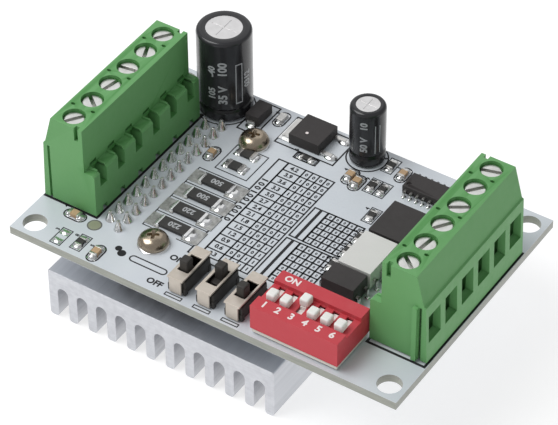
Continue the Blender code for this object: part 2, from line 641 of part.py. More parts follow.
def make_dip_switch(board):
    frame = anchor("dip_switch", (DIP_X, DIP_Y, 0), board)
    base_top = SEAT_GAP + DIP_BASE_THICKNESS
    base_x = centred(DIP_LENGTH - 2 * DIP_BASE_INSET)
    base_y = centred(DIP_WIDTH - 2 * DIP_BASE_INSET)
    base = box_mesh("dip_base", (base_x, base_y, (SEAT_GAP, base_top)))
    add_object("dip_switch_base", base, PALE_PLASTIC, frame)
    body = (centred(DIP_LENGTH), centred(DIP_WIDTH), (base_top + SEAT_GAP, DIP_HEIGHT))
    housing = add_object("dip_switch_housing", box_mesh("dip_body", body), RED, frame)
    channel_floor = DIP_HEIGHT - DIP_CHANNEL_DEPTH
    ceiling = channel_floor - DIP_ROOF_WALL
    inside_x, inside_y = centred(DIP_LENGTH - 2 * DIP_WALL), centred(DIP_WIDTH - 2 * DIP_WALL)
    combine(housing, box_mesh("inside", (inside_x, inside_y, (-PAST, ceiling))))
    channel_z = (channel_floor, DIP_HEIGHT + PAST)
    channel = (centred(DIP_LENGTH + PAST), centred(DIP_CHANNEL_WIDTH), channel_z)
    combine(housing, box_mesh("channel", channel))
    xs = row(POLE_COUNT, DIP_PITCH)
    half = DIP_STEM_WIDTH / 2 + SCREW_CLEARANCE
    window_y = centred(DIP_STEM_LENGTH + DIP_TRAVEL + SLIDE_CLEARANCE)
    window_z = (ceiling - PAST, channel_floor + PAST)
    windows = [((x - half, x + half), window_y, window_z) for x in xs]
    combine(housing, box_mesh("windows", *windows))
    actuator = dip_actuator_mesh(base_top, ceiling, channel_floor)
    for number, x in enumerate(xs, 1):
        y = DIP_TRAVEL / 2 if number in DIP_ON else -DIP_TRAVEL / 2
        add_object(f"dip_actuator_{number}", actuator, WHITE_PLASTIC, frame, (x, y, 0))


def switch_base_mesh():
    """An open tray for the knob's foot."""
    length = SWITCH_LENGTH - 2 * (SWITCH_SHEET + SCREW_CLEARANCE)
    top = SWITCH_HEIGHT - SWITCH_SHEET - SCREW_CLEARANCE
    block = (centred(SWITCH_BASE_WIDTH), centred(length), (SEAT_GAP, top))
    draft = add_object("switch_base_draft", box_mesh("switch_base", block), BLACK_PLASTIC)
    pocket = (
        centred(SWITCH_BASE_WIDTH - 2 * SWITCH_WALL),
        centred(KNOB_FOOT_LENGTH + SWITCH_TRAVEL + 2 * SLIDE_CLEARANCE),
        (SEAT_GAP + SWITCH_FLOOR, top + PAST),
    )
    combine(draft, box_mesh("pocket", pocket))
    return finished_mesh(draft)


def switch_frame_mesh():
    """A folded sheet: a top with a window for the knob, and a tab down each end."""
    end = SWITCH_LENGTH / 2
    sheet_bottom = SWITCH_HEIGHT - SWITCH_SHEET
    top = (centred(SWITCH_WIDTH), centred(SWITCH_LENGTH), (sheet_bottom, SWITCH_HEIGHT))
    draft = add_object("switch_frame_draft", box_mesh("switch_frame", top), TINNED_SHEET)
    tab_z = (SEAT_GAP, SWITCH_HEIGHT - SWITCH_SHEET / 3)
    tab_x = centred(SWITCH_TAB_WIDTH)
    sides = ((end - SWITCH_SHEET, end), (-end, -end + SWITCH_SHEET))
    combine(draft, box_mesh("tabs", *[(tab_x, side, tab_z) for side in sides]), "UNION")
    window = (
        centred(KNOB_WIDTH + 2 * SCREW_CLEARANCE),
        centred(KNOB_LENGTH + SWITCH_TRAVEL + 2 * SLIDE_CLEARANCE),
        (sheet_bottom - PAST, SWITCH_HEIGHT + PAST),
    )
    combine(draft, box_mesh("knob_window", window))
    return finished_mesh(draft)


def switch_knob_mesh():
    foot_top = SWITCH_HEIGHT - SWITCH_SHEET - SCREW_CLEARANCE - SLIDE_CLEARANCE
    foot = (
        centred(SWITCH_BASE_WIDTH - 2 * SWITCH_WALL - 2 * SCREW_CLEARANCE),
        centred(KNOB_FOOT_LENGTH),
        (SEAT_GAP + SWITCH_FLOOR + SLIDE_CLEARANCE, foot_top),
    )
    draft = add_object("switch_knob_draft", box_mesh("switch_foot", foot), BLACK_PLASTIC)
    stem = (centred(KNOB_WIDTH), centred(KNOB_LENGTH), (foot_top - JOIN, KNOB_HEIGHT))
    combine(draft, box_mesh("knob_stem", stem), "UNION")
    return finished_mesh(draft)


def make_slide_switches(board):
    base, frame_mesh, knob = switch_base_mesh(), switch_frame_mesh(), switch_knob_mesh()
    last_x = DIP_X - DIP_LENGTH / 2 - SWITCH_TO_DIP
    for number in (1, 2, 3):
        x = last_x - (3 - number) * SWITCH_PITCH
        frame = anchor(f"slide_switch_{number}", (x, SWITCH_Y, 0), board)
        add_object(f"slide_switch_base_{number}", base, BLACK_PLASTIC, frame)
        add_object(f"slide_switch_frame_{number}", frame_mesh, TINNED_SHEET, frame)
        y = SWITCH_TRAVEL / 2 if number in SWITCH_BACK else -SWITCH_TRAVEL / 2
        add_object(f"slide_switch_knob_{number}", knob, BLACK_PLASTIC, frame, (0, y, 0))


def make_capacitor(name, board, x, y, radius, height):
    """A sleeved can: bare disc in the top, crimp above the foot."""
    profile = [
        (0, height - CAN_TOP_SUNK),
        (0.62 * radius, height - CAN_TOP_SUNK),
        (0.66 * radius, height),
        (0.84 * radius, height),
        (0.95 * radius, height - 0.06 * radius),
        (radius, height - 0.18 * radius),
        (radius, CRIMP_HEIGHT + CRIMP_DEPTH),
        (radius - CRIMP_DEPTH, CRIMP_HEIGHT),
        (radius, CRIMP_HEIGHT - CRIMP_DEPTH),
        (radius, SEAT_GAP + CRIMP_DEPTH),
        (radius - CRIMP_DEPTH, SEAT_GAP),
        (0, SEAT_GAP),
    ]
    made = turned_object(name, profile, BLACK_SLEEVE, 32, parent=board, location=(x, y, 0))
    smooth(made.data)


def make_capacitors(board):
    radius, height = LARGE_CAPACITOR
    x = -BLOCK_INNER_X + LARGE_CAPACITOR_FROM_BLOCK_FACE
    y = LEFT_BLOCK_Y + BLOCK_LENGTH / 2 + SEAT_GAP + radius
    make_capacitor("large_capacitor", board, x, y, radius, height)
    radius, height = SMALL_CAPACITOR
    y = BACK_EDGE - SMALL_CAPACITOR_BACK_MARGIN - radius
    make_capacitor("small_capacitor", board, SMALL_CAPACITOR_X, y, radius, height)


def add_legs(made, ys, body_half, leg):
    """Legs out of both long sides: a run and, from its end, a drop to the board."""
    width, thickness, bend_z, reach = leg
    runs, drops = [], []
    for y in ys:
        span = (y - width / 2, y + width / 2)
        for side in (-1, 1):
            run = sorted((side * (body_half - JOIN), side * (body_half + reach)))
            drop = sorted((side * (body_half + reach - thickness), side * (body_half + reach)))
            runs.append((run, span, (bend_z, bend_z + thickness)))
            drops.append((drop, span, (SEAT_GAP, bend_z + thickness)))
    combine(made, box_mesh("leg_runs", *runs), "UNION")
    combine(made, box_mesh("leg_drops", *drops), "UNION")


def make_optocouplers(board):
    for name, from_block, y, length, legs, pitch in OPTOCOUPLERS:
        body_z = (OPTOCOUPLER_STANDOFF, OPTOCOUPLER_HEIGHT)
        body = box_mesh(f"{name}_body", (centred(OPTOCOUPLER_WIDTH), centred(length), body_z))
        mat = WHITE_EPOXY if name.endswith("middle") else BLACK_EPOXY
        made = add_object(name, body, mat, board, (BLOCK_INNER_X - from_block, y, 0))
        add_legs(made, row(legs, pitch), OPTOCOUPLER_WIDTH / 2, OPTOCOUPLER_LEG)


def make_logic_chip(board):
    length, width, thickness = LOGIC_CHIP_SIZE
    body_z = (SEAT_GAP, SEAT_GAP + thickness)
    body = box_mesh("logic_body", (centred(width), centred(length), body_z))
    place = (BLOCK_INNER_X - LOGIC_CHIP_FROM_BLOCK, BACK_EDGE - LOGIC_CHIP_FROM_BACK, 0)
    made = add_object("logic_chip", body, BLACK_EPOXY, board, place, math.pi / 2)
    add_legs(made, row(LOGIC_CHIP_LEGS, LOGIC_CHIP_PITCH), width / 2, LOGIC_CHIP_LEG)


def make_regulator(board):
    length, width, thickness = REGULATOR_SIZE
    body = box_mesh("regulator_body", (centred(length), centred(width), (SEAT_GAP, thickness)))
    place = (REGULATOR_X, BACK_EDGE - REGULATOR_FROM_BACK, 0)
    made = add_object("regulator", body, BLACK_EPOXY, board, place)
    metal_z = (SEAT_GAP + METAL_LIFT, SEAT_GAP + METAL_LIFT + REGULATOR_SHEET)
    tab_reach, tab_width = REGULATOR_TAB
    tab_x = (-length / 2 - tab_reach, -length / 2 + JOIN)
    combine(made, box_mesh("tab", (tab_x, centred(tab_width), metal_z)), "UNION")
    leg_reach, leg_width = REGULATOR_LEG
    leg_x = (length / 2 - JOIN, length / 2 + leg_reach)
    ys = row(2, REGULATOR_LEG_PITCH)
    legs = [(leg_x, (y - leg_width / 2, y + leg_width / 2), metal_z) for y in ys]
    combine(made, box_mesh("legs", *legs), "UNION")


def make_diode(board):
    width, length, thickness = DIODE_SIZE
    body = box_mesh("diode_body", (centred(width), centred(length), (SEAT_GAP, thickness)))
    place = (INNER_LEAD_ROW_X + DIODE_FROM_LEADS, BACK_EDGE - DIODE_FROM_BACK, 0)
    made = add_object("power_diode", body, BLACK_EPOXY, board, place)
    clip_width, clip_length, clip_rise = DIODE_CLIP
    clip_z = (SEAT_GAP + METAL_LIFT, SEAT_GAP + clip_rise)
    combine(made, box_mesh("clips", (centred(clip_width), centred(clip_length), clip_z)), "UNION")


def make_shunts(board):
    length, width, thickness = SHUNT_SIZE
    mesh = box_mesh("shunt", (centred(length), centred(width), (SHUNT_LIFT, SHUNT_LIFT + thickness)))
    x = INNER_LEAD_ROW_X + SHUNT_FROM_LEADS
    for index in range(SHUNT_COUNT):
        place = (x, SHUNT_FIRST_Y - index * SHUNT_PITCH, 0)
        add_object(f"shunt_resistor_{index + 1}", mesh, CERAMIC, board, place)


def main():
    make_heatsink()
    make_driver_chip()
    make_board()
    make_heatsink_screws()
    board = anchor("board_top", (0, 0, BOARD_TOP))
    make_terminal_blocks(board)
    make_dip_switch(board)
    make_slide_switches(board)
    make_capacitors(board)
    make_regulator(board)
    make_diode(board)
    make_shunts(board)
    make_optocouplers(board)
    make_logic_chip(board)


main()
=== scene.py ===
"""Stepper driver module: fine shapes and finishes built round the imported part.

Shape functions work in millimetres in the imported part's X and Y, with heights above the
board's top face. finish_piece lifts a finished shape to its place and turns it into metres.
"""

import math
import random

import bmesh
import bpy
from mathutils import Matrix, Vector


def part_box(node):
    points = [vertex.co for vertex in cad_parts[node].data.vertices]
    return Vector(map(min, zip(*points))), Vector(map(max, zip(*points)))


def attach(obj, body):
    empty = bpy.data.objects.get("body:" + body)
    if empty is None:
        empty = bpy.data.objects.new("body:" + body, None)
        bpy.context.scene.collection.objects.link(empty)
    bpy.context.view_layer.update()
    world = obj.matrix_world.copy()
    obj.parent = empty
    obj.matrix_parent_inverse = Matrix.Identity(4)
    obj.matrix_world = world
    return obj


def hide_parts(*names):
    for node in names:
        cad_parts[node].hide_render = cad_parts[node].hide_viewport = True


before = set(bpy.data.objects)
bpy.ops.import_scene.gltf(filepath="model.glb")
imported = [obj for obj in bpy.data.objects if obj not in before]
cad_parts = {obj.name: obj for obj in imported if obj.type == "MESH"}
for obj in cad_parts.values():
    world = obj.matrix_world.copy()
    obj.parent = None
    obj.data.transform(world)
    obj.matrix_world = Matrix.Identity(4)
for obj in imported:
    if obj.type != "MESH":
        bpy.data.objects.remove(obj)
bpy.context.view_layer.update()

MM = 0.001
BOARD_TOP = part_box("circuit_board")[1].z / MM
BOARD_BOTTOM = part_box("circuit_board")[0].z / MM - BOARD_TOP
INK = 0.03  # height of printed lines over the board
INK_FOOT = -0.01  # their hidden underside
STROKE_WEIGHT = 0.035  # thickening of printed characters, as a share of their size
WELD = 0.0005  # corners closer than this become one
CREASE = 38  # edges that turn by more degrees than this stay sharp
random.seed(7)


def node_box(node):
    """A CAD node's corners and middle in millimetres, with heights above the board."""
    lift = Vector((0, 0, BOARD_TOP))
    low, high = (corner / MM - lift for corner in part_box(node))
    return low, high, (low + high) / 2


def node_middle(node):
    return node_box(node)[2]


# Shapes


def outward(shape):
    bmesh.ops.recalc_face_normals(shape, faces=shape.faces)
    return shape


def raised(shape, faces, height):
    """The shape with some of its faces drawn up by a height."""
    made = bmesh.ops.extrude_face_region(shape, geom=faces)["geom"]
    tops = [part for part in made if isinstance(part, bmesh.types.BMVert)]
    bmesh.ops.translate(shape, vec=(0, 0, height), verts=tops)
    return outward(shape)


def edges_above(edges, height):
    return [edge for edge in edges if all(corner.co.z > height for corner in edge.verts)]


def soften(shape, edges, width, steps=2):
    bmesh.ops.bevel(
        shape, geom=list(edges), offset=width, offset_type="OFFSET", segments=steps,
        profile=0.5, affect="EDGES", material=-1, clamp_overlap=True,
    )
    return shape


def block(first, second, soft=0.0, steps=2):
    """A box between any two opposite corners, its edges rounded by soft."""
    low, high = (Vector([pick(pair) for pair in zip(first, second)]) for pick in (min, max))
    place = Matrix.Translation((low + high) / 2) @ Matrix.Diagonal((*(high - low), 1))
    shape = bmesh.new()
    bmesh.ops.create_cube(shape, size=1.0, matrix=place)
    if soft:
        soften(shape, shape.edges, soft, steps)
    return shape


def slab(x, y, size_x, size_y, low, high, soft=0.0, steps=2):
    """A box given by its middle and its size in plan."""
    corner = (x - size_x / 2, y - size_y / 2, low)
    return block(corner, (x + size_x / 2, y + size_y / 2, high), soft, steps)


def turned(profile, steps=32):
    """(radius, height) points, joined in order and turned about the Z axis."""
    shape = bmesh.new()
    points = [shape.verts.new((radius, 0, height)) for radius, height in profile]
    edges = [shape.edges.new(pair) for pair in zip(points, points[1:])]
    bmesh.ops.spin(
        shape, geom=points + edges, cent=(0, 0, 0), axis=(0, 0, 1), angle=2 * math.pi,
        steps=steps, use_merge=True,
    )
    bmesh.ops.remove_doubles(shape, verts=shape.verts, dist=WELD)
    return outward(shape)


def rod(radius, low, high, steps=32, top=None):
    """A round bar, tapered where its top is given another radius."""
    return turned([(0, low), (radius, low), (top or radius, high), (0, high)], steps)


def prism(outline, low, high):
    """A flat outline of (x, y) points raised from low to high."""
    shape = bmesh.new()
    base = shape.faces.new([shape.verts.new((x, y, low)) for x, y in outline])
    return raised(shape, [base], high - low)


def band(outline, width):
    """A printed line of some width just inside a closed outline."""
    shape = bmesh.new()
    face = shape.faces.new([shape.verts.new((x, y, INK_FOOT)) for x, y in outline])
    face.normal_update()
    bmesh.ops.inset_region(
        shape, faces=[face], thickness=width, use_even_offset=True, use_boundary=True
    )
    bmesh.ops.delete(shape, geom=[face], context="FACES_ONLY")
    return raised(shape, list(shape.faces), INK - INK_FOOT)


def joined(parts):
    """One shape from several, which are used up."""
    whole = bmesh.new()
    holder = bpy.data.meshes.new("holder")
    for part in parts:
        part.to_mesh(holder)
        part.free()
        whole.from_mesh(holder)
    bpy.data.meshes.remove(holder)
    return whole


def trimmed(shape, limit):
    """The shape without what lies behind a limit in Y, closed again."""
    parts = list(shape.verts) + list(shape.edges) + list(shape.faces)
    bmesh.ops.bisect_plane(
        shape, geom=parts, plane_co=(0, limit, 0), plane_no=(0, 1, 0), clear_outer=True
    )
    bmesh.ops.holes_fill(shape, edges=[edge for edge in shape.edges if edge.is_boundary])
    return outward(shape)


def placed(shape, at=(0, 0, 0), turn=0.0, axis="Z"):
    place = Matrix.Translation(at) @ Matrix.Rotation(turn, 4, axis)
    bmesh.ops.transform(shape, matrix=place, verts=shape.verts)
    return shape


def painted(index, *shapes):
    """Gives the whole of each shape the piece's material of that number."""
    for shape in shapes:
        for face in shape.faces:
            face.material_index = index
    return shapes


def set_up(thing, **settings):
    for setting, value in settings.items():
        setattr(thing, setting, value)
    return thing


def linked(name, data):
    """A new object in the scene."""
    made = bpy.data.objects.new(name, data)
    bpy.context.scene.collection.objects.link(made)
    return made


def shape_object(shape, name="draft"):
    """A scene object from a shape, which is used up."""
    mesh = bpy.data.meshes.new(name)
    shape.to_mesh(mesh)
    shape.free()
    return linked(name, mesh)


def evaluated_shape(made):
    """The object's shape with its modifiers applied. The object is used up."""
    graph = bpy.context.evaluated_depsgraph_get()
    mesh = bpy.data.meshes.new_from_object(made.evaluated_get(graph))
    bpy.data.objects.remove(made)
    shape = bmesh.new()
    shape.from_mesh(mesh)
    bpy.data.meshes.remove(mesh)
    return shape


def carved(shape, cutters):
    """The shape with the cutters taken out of it."""
    target = shape_object(shape)
    tools = [shape_object(cutter) for cutter in cutters]
    for tool in tools:
        cut = target.modifiers.new("cut", "BOOLEAN")
        set_up(cut, operation="DIFFERENCE", solver="EXACT", object=tool)
    bpy.context.view_layer.update()
    result = evaluated_shape(target)
    for tool in tools:
        bpy.data.objects.remove(tool)
    bmesh.ops.remove_doubles(result, verts=result.verts, dist=WELD)
    return result


def sharp_edges(shape, degrees):
    limit = math.radians(degrees)
    both = [edge for edge in shape.edges if len(edge.link_faces) == 2]
    return [edge for edge in both if edge.calc_face_angle(0.0) > limit]


def node_shape(node, soft, steps=2, degrees=30):
    """A CAD node's shape, merged into whole faces, its sharp edges rounded by soft."""
    shape = bmesh.new()
    shape.from_mesh(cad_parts[node].data)
    painted(0, shape)
    bmesh.ops.scale(shape, vec=(1 / MM, 1 / MM, 1 / MM), verts=shape.verts)
    bmesh.ops.translate(shape, vec=(0, 0, -BOARD_TOP), verts=shape.verts)
    bmesh.ops.remove_doubles(shape, verts=shape.verts, dist=0.002)
    bmesh.ops.dissolve_limit(
        shape, angle_limit=math.radians(1.5), verts=shape.verts, edges=shape.edges
    )
    return soften(shape, sharp_edges(shape, degrees), soft, steps)


def lettering(text, size, at, turn=0.0, low=INK_FOOT, high=INK):
    """Raised plain characters, as a mesh."""
    curve = bpy.data.curves.new("characters", "FONT")
    set_up(curve, body=text, size=size, align_x="CENTER", align_y="CENTER", resolution_u=3)
    set_up(curve, offset=size * STROKE_WEIGHT, extrude=(high - low) / 2)
    made = linked("characters", curve)
    bpy.context.view_layer.update()
    shape = evaluated_shape(made)
    bmesh.ops.remove_doubles(shape, verts=shape.verts, dist=WELD)
    return placed(shape, (at[0], at[1], (low + high) / 2), turn)


def finish_piece(name, parts, finishes, replaced=(), body="module", even=True):
    """Joins shapes into a piece of the scene that rides on a body."""
    shape = joined(parts)
    bmesh.ops.translate(shape, vec=(0, 0, BOARD_TOP), verts=shape.verts)
    bmesh.ops.scale(shape, vec=(MM, MM, MM), verts=shape.verts)
    for edge in sharp_edges(shape, CREASE):
        edge.smooth = False
    for face in shape.faces:
        face.smooth = True
    piece = shape_object(shape, name)
    for finish in finishes:
        piece.data.materials.append(finish)
    if even:
        weighting = piece.modifiers.new("even_shading", "WEIGHTED_NORMAL")
        weighting.keep_sharp = True
    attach(piece, body)
    if replaced:
        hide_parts(*replaced)
    return piece


# Finishes: effects that several materials share


def new_group(name, inputs, outputs):
    """A node group, its inputs and outputs given as names and kinds."""
    group = bpy.data.node_groups.new(name, "ShaderNodeTree")
    for sockets, way in ((inputs, "INPUT"), (outputs, "OUTPUT")):
        for label, kind in sockets.items():
            group.interface.new_socket(label, in_out=way, socket_type=f"NodeSocket{kind}")
    start = group.nodes.new("NodeGroupInput")
    return group, start.outputs, group.nodes.new("NodeGroupOutput").inputs


def linked_node(tree, kind, links=None, **settings):
    """A new node with its settings, and its inputs linked or set by name or number."""
    node = set_up(tree.nodes.new(kind), **settings)
    for key, value in (links or {}).items():
        if isinstance(value, bpy.types.NodeSocket):
            tree.links.new(value, node.inputs[key])
        else:
            node.inputs[key].default_value = value
    return node


def mix_colours(tree, share, first, second):
    links = {0: share, 6: first, 7: second}
    return linked_node(tree, "ShaderNodeMix", links, data_type="RGBA").outputs[2]


def mapped(tree, value, low, high, to_low=0.0, to_high=1.0):
    links = {0: value, 1: low, 2: high, 3: to_low, 4: to_high}
    return linked_node(tree, "ShaderNodeMapRange", links).outputs[0]


def worked(tree, operation, *values):
    links = dict(enumerate(values))
    return linked_node(tree, "ShaderNodeMath", links, operation=operation).outputs[0]


def noise(tree, place, scale, detail):
    links = {"Vector": place, "Scale": scale, "Detail": detail}
    return linked_node(tree, "ShaderNodeTexNoise", links).outputs[0]


def facing(tree, index):
    """How far the surface looks along X, Y or Z."""
    normal = linked_node(tree, "ShaderNodeNewGeometry").outputs["Normal"]
    return linked_node(tree, "ShaderNodeSeparateXYZ", {0: normal}).outputs[index]


def make_uneven_tone():
    """Slow colour variation, as in mouldings and plating."""
    inputs = {"Vector": "Vector", "Colour": "Color", "Second": "Color", "Scale": "Float",
              "Amount": "Float"}
    group, start, end = new_group("uneven_tone", inputs, {"Colour": "Color"})
    share = mapped(group, noise(group, start[0], start[3], 3.0), 0.3, 0.7, 0.0, start[4])
    group.links.new(mix_colours(group, share, start[1], start[2]), end[0])
    return group


def make_fine_grain():
    """Fine speckle, put out both as a value between two limits and as a height."""
    inputs = {"Vector": "Vector", "Scale": "Float", "Low": "Float", "High": "Float"}
    outputs = {"Value": "Float", "Height": "Float"}
    group, start, end = new_group("fine_grain", inputs, outputs)
    height = noise(group, start[0], start[1], 4.0)
    group.links.new(mapped(group, height, 0.3, 0.7, start[2], start[3]), end[0])
    group.links.new(height, end[1])
    return group


def make_settled_dust():
    """A pale film on faces that look up, thicker in patches."""
    inputs = {"Vector": "Vector", "Colour": "Color", "Dust": "Color", "Amount": "Float"}
    group, start, end = new_group("settled_dust", inputs, {"Colour": "Color"})
    upward = mapped(group, facing(group, 2), 0.3, 1.0)
    patches = mapped(group, noise(group, start[0], 500.0, 5.0), 0.4, 0.75, 0.0, start[3])
    share = worked(group, "MULTIPLY", upward, patches)
    group.links.new(mix_colours(group, share, start[1], start[2]), end[0])
    return group


def make_rubbed_edges():
    """Painted highlight: paler colour where the surface turns outwards."""
    inputs = {"Colour": "Color", "Highlight": "Color", "Amount": "Float"}
    group, start, end = new_group("painted_edge_highlight", inputs, {"Colour": "Color"})
    pointed = linked_node(group, "ShaderNodeNewGeometry").outputs["Pointiness"]
    share = mapped(group, pointed, 0.505, 0.56, 0.0, start[2])
    group.links.new(mix_colours(group, share, start[0], start[1]), end[0])
    return group


UNEVEN_TONE = make_uneven_tone()
FINE_GRAIN = make_fine_grain()
SETTLED_DUST = make_settled_dust()
PAINTED_EDGE_HIGHLIGHT = make_rubbed_edges()
DUST_COLOUR = (0.75, 0.73, 0.70, 1.0)


def set_inputs(shader, values):
    for label, value in values.items():
        shader.inputs[label].default_value = value


class Finish:
    """A material under way: its node tree, its shader and its object coordinates."""

    def __init__(self, name, metallic=0.0, coat=0.0, specular=0.5):
        self.material = bpy.data.materials.new(name)
        self.material.use_nodes = True
        self.tree = self.material.node_tree
        self.shader = self.tree.nodes["Principled BSDF"]
        set_inputs(self.shader, {"Metallic": metallic, "Coat Weight": coat,
                                 "Coat Roughness": 0.15, "Specular IOR Level": specular})
        self.place = self.tree.nodes.new("ShaderNodeTexCoord").outputs["Object"]

    def stretched(self, scale):
        links = {"Vector": self.place, "Scale": scale}
        return linked_node(self.tree, "ShaderNodeMapping", links).outputs[0]

    def effect(self, group, *values):
        links = dict(enumerate(values))
        return linked_node(self.tree, "ShaderNodeGroup", links, node_tree=group).outputs

    def tone(self, colour, second, scale, amount, place=None):
        colours = (*colour, 1), (*second, 1)
        return self.effect(UNEVEN_TONE, place or self.place, *colours, scale, amount)[0]

    def grain(self, scale, low=0.3, high=0.5, place=None):
        return self.effect(FINE_GRAIN, place or self.place, scale, low, high)

    def dusted(self, colour, amount):
        return self.effect(SETTLED_DUST, self.place, colour, DUST_COLOUR, amount)[0]

    # Mixes the edge colour in on outward-turning edges as a painted highlight.
    def rubbed(self, colour, edge, amount):
        return self.effect(PAINTED_EDGE_HIGHLIGHT, colour, (*edge, 1), amount)[0]

    def bump(self, height, depth, strength):
        links = {"Height": height, "Distance": depth, "Strength": strength}
        bumped = linked_node(self.tree, "ShaderNodeBump", links)
        self.tree.links.new(bumped.outputs[0], self.shader.inputs["Normal"])

    def colour(self, value):
        self.tree.links.new(value, self.shader.inputs["Base Color"])

    def roughness(self, value):
        self.tree.links.new(value, self.shader.inputs["Roughness"])

    def surface(self, scales, rough, depth, strength=0.5):
        """Roughness between two limits and small bumps, each at its own scale."""
        self.roughness(self.grain(scales[0], *rough)[0])
        self.bump(self.grain(scales[1])[1], depth, strength)


def moulded(name, colour, second, edge, rough, grain=2600.0, depth=0.00003, dust=0.02, coat=0.0):
    """A moulded plastic or epoxy: slow tone, spark-eroded grain, a painted highlight on the edges, a
    little dust.
    """
    made = Finish(name, coat=coat, specular=0.22)
    tone = made.tone(colour, second, 260.0, 0.8)
    # The edge colour is a painted highlight on outward-turning edges.
    made.colour(made.dusted(made.rubbed(tone, edge, 0.5), dust))
    made.surface((900.0, grain), rough, depth)
    return made.material


def plated(name, colour, second, rough, metallic=1.0, clouds=(700.0, 0.8),
           scales=(1400.0, 2500.0), depth=0.00001, strength=0.5, dust=0.0):
    """A metal surface or set solder: clouded tone, fine marks, perhaps some dust."""
    made = Finish(name, metallic=metallic)
    tone = made.tone(colour, second, *clouds)
    made.colour(made.dusted(tone, dust) if dust else tone)
    made.surface(scales, rough, depth, strength)
    return made.material


def make_board_finish():
    """White mask on both faces, woven laminate on the cut edges."""
    made = Finish("white_mask_over_laminate", coat=0.25)
    tree = made.tree
    mask = made.tone((0.61, 0.65, 0.70), (0.66, 0.70, 0.74), 90.0, 0.9)
    weave = made.stretched((0.4, 0.4, 3.0))
    laminate = made.tone((0.37, 0.38, 0.33), (0.27, 0.28, 0.24), 700.0, 0.9, weave)
    height = linked_node(tree, "ShaderNodeSeparateXYZ", {0: made.place}).outputs[2]
    middle = (BOARD_TOP + BOARD_BOTTOM / 2) * MM
    away = worked(tree, "ABSOLUTE", worked(tree, "SUBTRACT", height, middle))
    half = -BOARD_BOTTOM / 2 * MM
    outside = mapped(tree, away, half - 0.00006, half - 0.00003)
    made.colour(made.dusted(mix_colours(tree, outside, laminate, mask), 0.05))
    made.surface((500.0, 1500.0), (0.28, 0.42), 0.00002, 0.3)
    return made.material


def make_heatsink_finish():
    """Bare extrusion: die lines along its length, saw marks across its two ends."""
    made = Finish("satin_extruded_aluminium", metallic=1.0)
    tree = made.tree
    along = made.stretched((6.0, 0.12, 6.0))
    die_lines = made.grain(500.0, 0.34, 0.52, along)
    saw_marks = made.grain(420.0, 0.42, 0.62, made.stretched((0.5, 1.0, 7.0)))
    end_on = mapped(tree, worked(tree, "ABSOLUTE", facing(tree, 1)), 0.6, 0.9)
    mixed = []
    for line, mark in zip(die_lines, saw_marks):
        links = {0: end_on, 2: line, 3: mark}
        mixed.append(linked_node(tree, "ShaderNodeMix", links, data_type="FLOAT").outputs[0])
    made.roughness(mixed[0])
    made.bump(mixed[1], 0.00003, 0.6)
    tone = made.tone((0.60, 0.61, 0.64), (0.68, 0.69, 0.72), 160.0, 0.9, along)
    made.colour(made.dusted(tone, 0.06))
    return made.material


BOARD_FINISH = make_board_finish()
HEATSINK_FINISH = make_heatsink_finish()
# The third colour of each moulded finish is the painted highlight on its edges.
GREEN_POLYAMIDE = moulded(
    "satin_green_polyamide", (0.088, 0.282, 0.080), (0.100, 0.305, 0.092), (0.20, 0.45, 0.19),
    (0.36, 0.50), depth=0.00002,
)
RED_PLASTIC = moulded(
    "satin_red_plastic", (0.45, 0.016, 0.028), (0.50, 0.022, 0.036), (0.66, 0.10, 0.12),
    (0.34, 0.48),
)
WHITE_NYLON = moulded(
    "white_nylon", (0.80, 0.79, 0.74), (0.86, 0.85, 0.82), (0.90, 0.90, 0.88), (0.34, 0.46)
)
PALE_PLASTIC = moulded(
    "pale_base_plastic", (0.66, 0.62, 0.55), (0.72, 0.68, 0.61), (0.8, 0.76, 0.7), (0.4, 0.55)
)
BLACK_EPOXY = moulded(
    "matt_black_epoxy", (0.020, 0.016, 0.016), (0.027, 0.022, 0.022), (0.08, 0.075, 0.075),
    (0.48, 0.62), grain=4200.0, depth=0.00004, dust=0.0,
)
WHITE_EPOXY = moulded(
    "matt_white_epoxy", (0.60, 0.59, 0.57), (0.66, 0.65, 0.63), (0.74, 0.73, 0.72),
    (0.48, 0.62), grain=4200.0, depth=0.00004,
)
BLACK_NYLON = moulded(
    "black_switch_nylon", (0.010, 0.009, 0.008), (0.016, 0.014, 0.013), (0.07, 0.065, 0.06),
    (0.34, 0.50), dust=0.01,
)
BLACK_CERAMIC = moulded(
    "black_glazed_ceramic", (0.018, 0.016, 0.014), (0.030, 0.027, 0.024), (0.08, 0.08, 0.08),
    (0.36, 0.52), grain=3600.0, dust=0.01,
)
TAN_CERAMIC = moulded(
    "tan_chip_ceramic", (0.42, 0.26, 0.13), (0.50, 0.34, 0.19), (0.58, 0.42, 0.27), (0.35, 0.5)
)
BLACK_SLEEVE = moulded(
    "shrunk_black_sleeve", (0.009, 0.009, 0.011), (0.014, 0.014, 0.016), (0.07, 0.07, 0.075),
    (0.16, 0.26), grain=1200.0, depth=0.00003, dust=0.0, coat=0.4,
)
BLACK_INK = moulded(
    "black_board_ink", (0.012, 0.012, 0.016), (0.020, 0.020, 0.024), (0.03, 0.03, 0.03),
    (0.45, 0.60), dust=0.0,
)
PAD_FINISH = moulded(
    "olive_laminate_pad", (0.21, 0.24, 0.15), (0.28, 0.31, 0.21), (0.4, 0.4, 0.3), (0.4, 0.55)
)
RING_INK = moulded(
    "dark_olive_ring", (0.08, 0.09, 0.07), (0.11, 0.12, 0.09), (0.2, 0.2, 0.2), (0.4, 0.55)
)
WHITE_INK = moulded(
    "white_print", (0.84, 0.66, 0.64), (0.88, 0.72, 0.70), (0.9, 0.9, 0.9), (0.45, 0.6), dust=0.0
)
GREY_INK = moulded(
    "grey_sleeve_print", (0.34, 0.36, 0.39), (0.44, 0.46, 0.50), (0.5, 0.5, 0.5), (0.3, 0.45),
    dust=0.02,
)
NICKEL = plated("warm_nickel_plate", (0.46, 0.385, 0.295), (0.36, 0.30, 0.23), (0.18, 0.34))
ZINC = plated("bright_zinc_plate", (0.80, 0.80, 0.78), (0.68, 0.68, 0.65), (0.28, 0.42))
